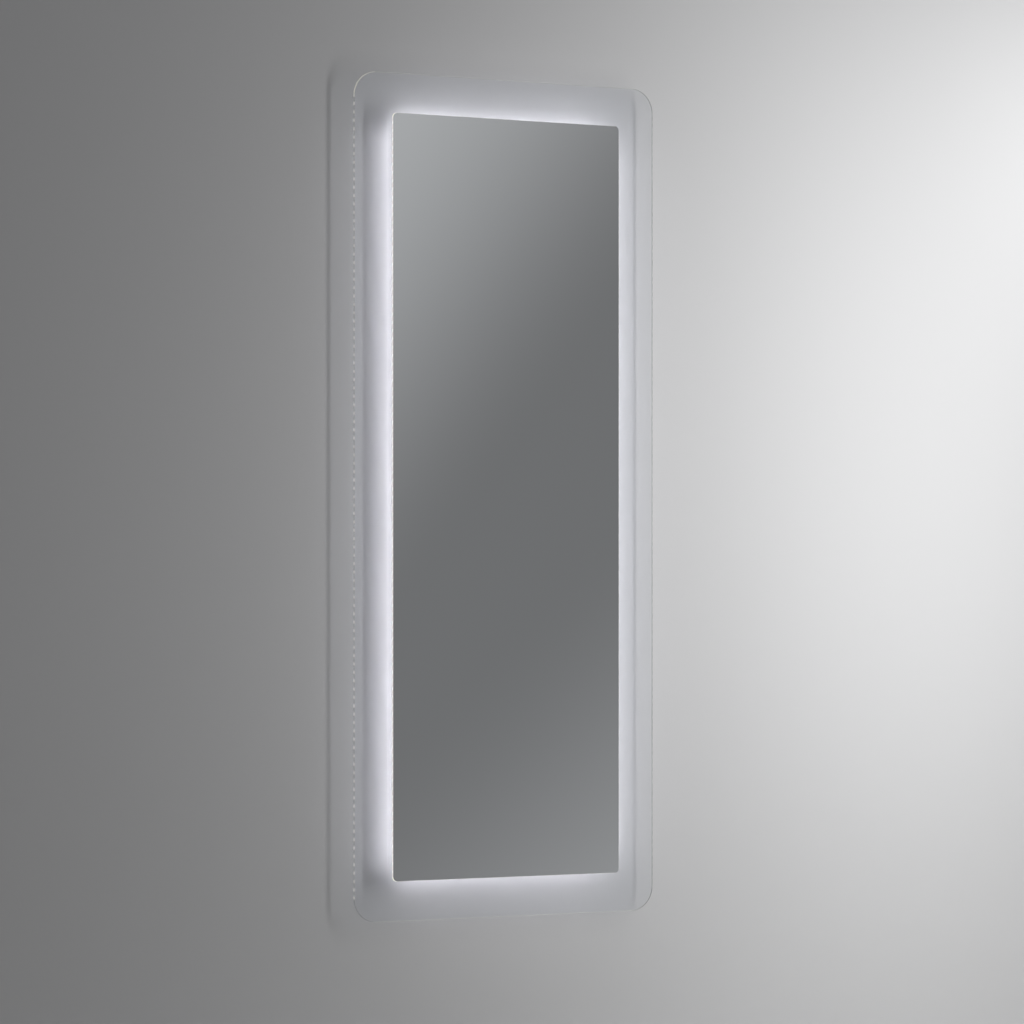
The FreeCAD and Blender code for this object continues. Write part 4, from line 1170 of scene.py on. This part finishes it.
@dataclass
class Leads:
    """The two leads behind the mirror and the bushes that they pass through."""

    to_strips: Tuple[Place, ...] = (
        (-0.127, -0.016, -0.200), (-0.163, -0.016, -0.200), (-0.168, -0.020, -0.242),
        (-0.198, -0.023, -0.270), (-0.2412, -0.023, -0.270),
    )
    to_driver: Tuple[Place, ...] = (
        (0.051, -0.016, -0.200), (0.0759, -0.016, -0.200), (0.1011, -0.016, -0.222), (0.126, -0.016, -0.222),
    )

    def build(self) -> None:
        """Lays the leads and dresses the bushes."""
        white = Moulded("white_sheath", (0.80, 0.80, 0.79), 0.38, 300.0)
        black = Moulded("black_sheath", BLACK, 0.42, 300.0)
        Lead("led_lead", "white_lead", 0.0018, 0.1536, self.to_strips).build(white.material())
        Lead("mains_lead", "black_lead", 0.0025, 0.0813, self.to_driver).build(black.material())
        rubber = Moulded("bush_rubber", (0.03, 0.03, 0.03), 0.7, 400.0).material()
        dress(rubber, "led_lead_bush", "mains_lead_bush", "box_lead_bush", "rail_grommet")


# ---------------- room, lamps and camera


@dataclass(frozen=True)
class Band:
    """A brighter part of the room that the mirror shows, on one side of a slanting line with a soft edge."""

    above: bool
    slope: float
    start: float
    softness: float
    light: float

    def shown(self, turn: Signal, rise: Signal) -> Signal:
        """Its light at an angle sideways and one upwards, in radians."""
        beyond = rise - turn * self.slope if self.above else turn * self.slope - rise
        return (beyond - self.start).step(0.0, self.softness) * self.light


@dataclass
class Room:
    """The wall that the mirror hangs on, a pale floor and the room that the mirror reflects."""

    wall_low: Pair = (-2.0, -1.75)
    wall_high: Pair = (2.2, 1.15)
    wall_gap: float = 0.0005
    floor_reach: float = 2.2
    backdrop: Colour = (0.80, 0.80, 0.80)
    shown_turn: float = math.radians(30)
    shown_reach: Pair = (0.25, 0.08)
    lamp_side: Band = Band(True, 1.347, 0.0274, 0.1309, 0.2326)
    floor_side: Band = Band(False, 1.014, 0.0098, 0.1422, 0.1769)
    between: float = 0.1529
    levels: Pair = (0.125, 0.187)
    tone: Pair = (1.005, 1.02)

    def sheet(self, name: str, corners: Sequence[Place], material: Material) -> Object:
        """A flat backdrop.

        Args:
            name: Its name.
            corners: Its corners, anticlockwise from its front.
            material: Its finish.

        Returns:
            The backdrop.
        """
        mesh = bpy.data.meshes.new(name)
        mesh.from_pydata(corners, [], [tuple(range(len(corners)))])
        mesh.materials.append(material)
        backdrop = link(name, mesh)
        return backdrop

    def world(self) -> None:
        """The room's light: soft and grey, with what the mirror shows from the photograph's side."""
        world = bpy.data.worlds.new("room")
        bpy.context.scene.world = world
        world.use_nodes = True
        world.node_tree.nodes.clear()
        book = NodeBook(world.node_tree)
        x, y, z = book.axes(book.node("ShaderNodeTexCoord", None, None, "Generated"))
        turn = book.maths("ARCTAN2", x, y * -1.0) - self.shown_turn
        rise = z.maths("ARCSINE")
        near = (turn * turn + rise * rise).step(*self.shown_reach)
        base = z.step(-1.0, 1.0, *self.levels)
        view = self.lamp_side.shown(turn, rise) + self.floor_side.shown(turn, rise) + self.between
        mixed = {"Factor_Float": near, "A_Float": base, "B_Float": view / Silvering.colour[0]}
        grey = book.node("ShaderNodeMix", {"data_type": "FLOAT"}, mixed)
        green, blue = self.tone
        colour = book.node("ShaderNodeCombineColor", None, {0: grey, 1: grey * green, 2: grey * blue})
        shown = book.mix(book.ray("Is Camera Ray"), colour, self.backdrop)
        back = book.node("ShaderNodeBackground", None, {"Color": shown})
        book.node("ShaderNodeOutputWorld", None, {"Surface": back})

    def build(self) -> None:
        """Makes the wall, the floor and the world."""
        (left, low), (right, high) = self.wall_low, self.wall_high
        y = self.wall_gap
        wall = [(left, y, low), (right, y, low), (right, y, high), (left, y, high)]
        self.sheet("wall", wall, WallPaint().material())
        reach = -self.floor_reach
        floor = [(left, reach, low), (right, reach, low), (right, y, low), (left, y, low)]
        self.sheet("floor", floor, FloorFinish().material())
        self.world()


@dataclass(frozen=True)
class Softbox:
    """A studio lamp: its place, the point that it faces, its width and height and its power in watts."""

    name: str
    place: Place
    aim: Place
    size: Pair
    power: float

    def build(self) -> None:
        """Stands the lamp in its place."""
        lamp = area_lamp(self.name, self.size, self.power)
        lamp.location = self.place
        lamp.rotation_euler = (Vector(self.aim) - Vector(self.place)).to_track_quat("-Z", "Y").to_euler()


@dataclass
class Studio:
    """Lamps that are not part of the mirror: two in front, and one behind the wall for views of the back."""

    softboxes: Tuple[Softbox, ...] = (
        Softbox("key_softbox", (1.08, -1.25, -0.33), (1.08, 0.0, -0.33), (0.28, 1.80), 21.7),
        Softbox("side_softbox", (1.65, -0.6, 0.35), (1.65, 0.0, 0.35), (0.35, 0.35), 2.4),
        Softbox("back_softbox", (0.9, 2.2, 0.5), (0.0, 0.0, -0.5), (1.4, 1.4), 44.0),
    )

    def build(self) -> None:
        """Stands them in their places."""
        for softbox in self.softboxes:
            softbox.build()


@dataclass
class PhotoCamera:
    """The camera at the photograph's place: level, turned 30 degrees to the wall."""

    place: Place = (-4.331, -7.561, -0.666)
    turn: float = -30.0
    lens: float = 150.1
    sensor: float = 36.0
    horizon: float = 580.0
    frame_size: float = 1024.0

    def build(self) -> None:
        """Makes the camera the scene's own."""
        data = bpy.data.cameras.new("photo_camera")
        data.lens = self.lens
        data.sensor_width = self.sensor
        data.sensor_fit = "HORIZONTAL"
        data.shift_y = self.horizon / self.frame_size - 0.5
        camera = link("photo_camera", data)
        camera.location = self.place
        camera.rotation_euler = (math.radians(90), 0.0, math.radians(self.turn))
        bpy.context.scene.camera = camera


def main() -> None:
    """Builds the camera, the leads, the mirror's other sub-assemblies, the room and the lamps."""
    logging.basicConfig(level=logging.INFO, format="%(name)s: %(message)s")
    bpy.context.scene.view_settings.view_transform = "Standard"
    for assembly in (
        PhotoCamera(), Leads(), Glass(), LightRing(), AluminiumFrame(), WallFixings(), Equipment(),
        Room(), Studio(),
    ):
        log.info("building %s", type(assembly).__name__)
        assembly.build()


if __name__ == "__main__":
    main()
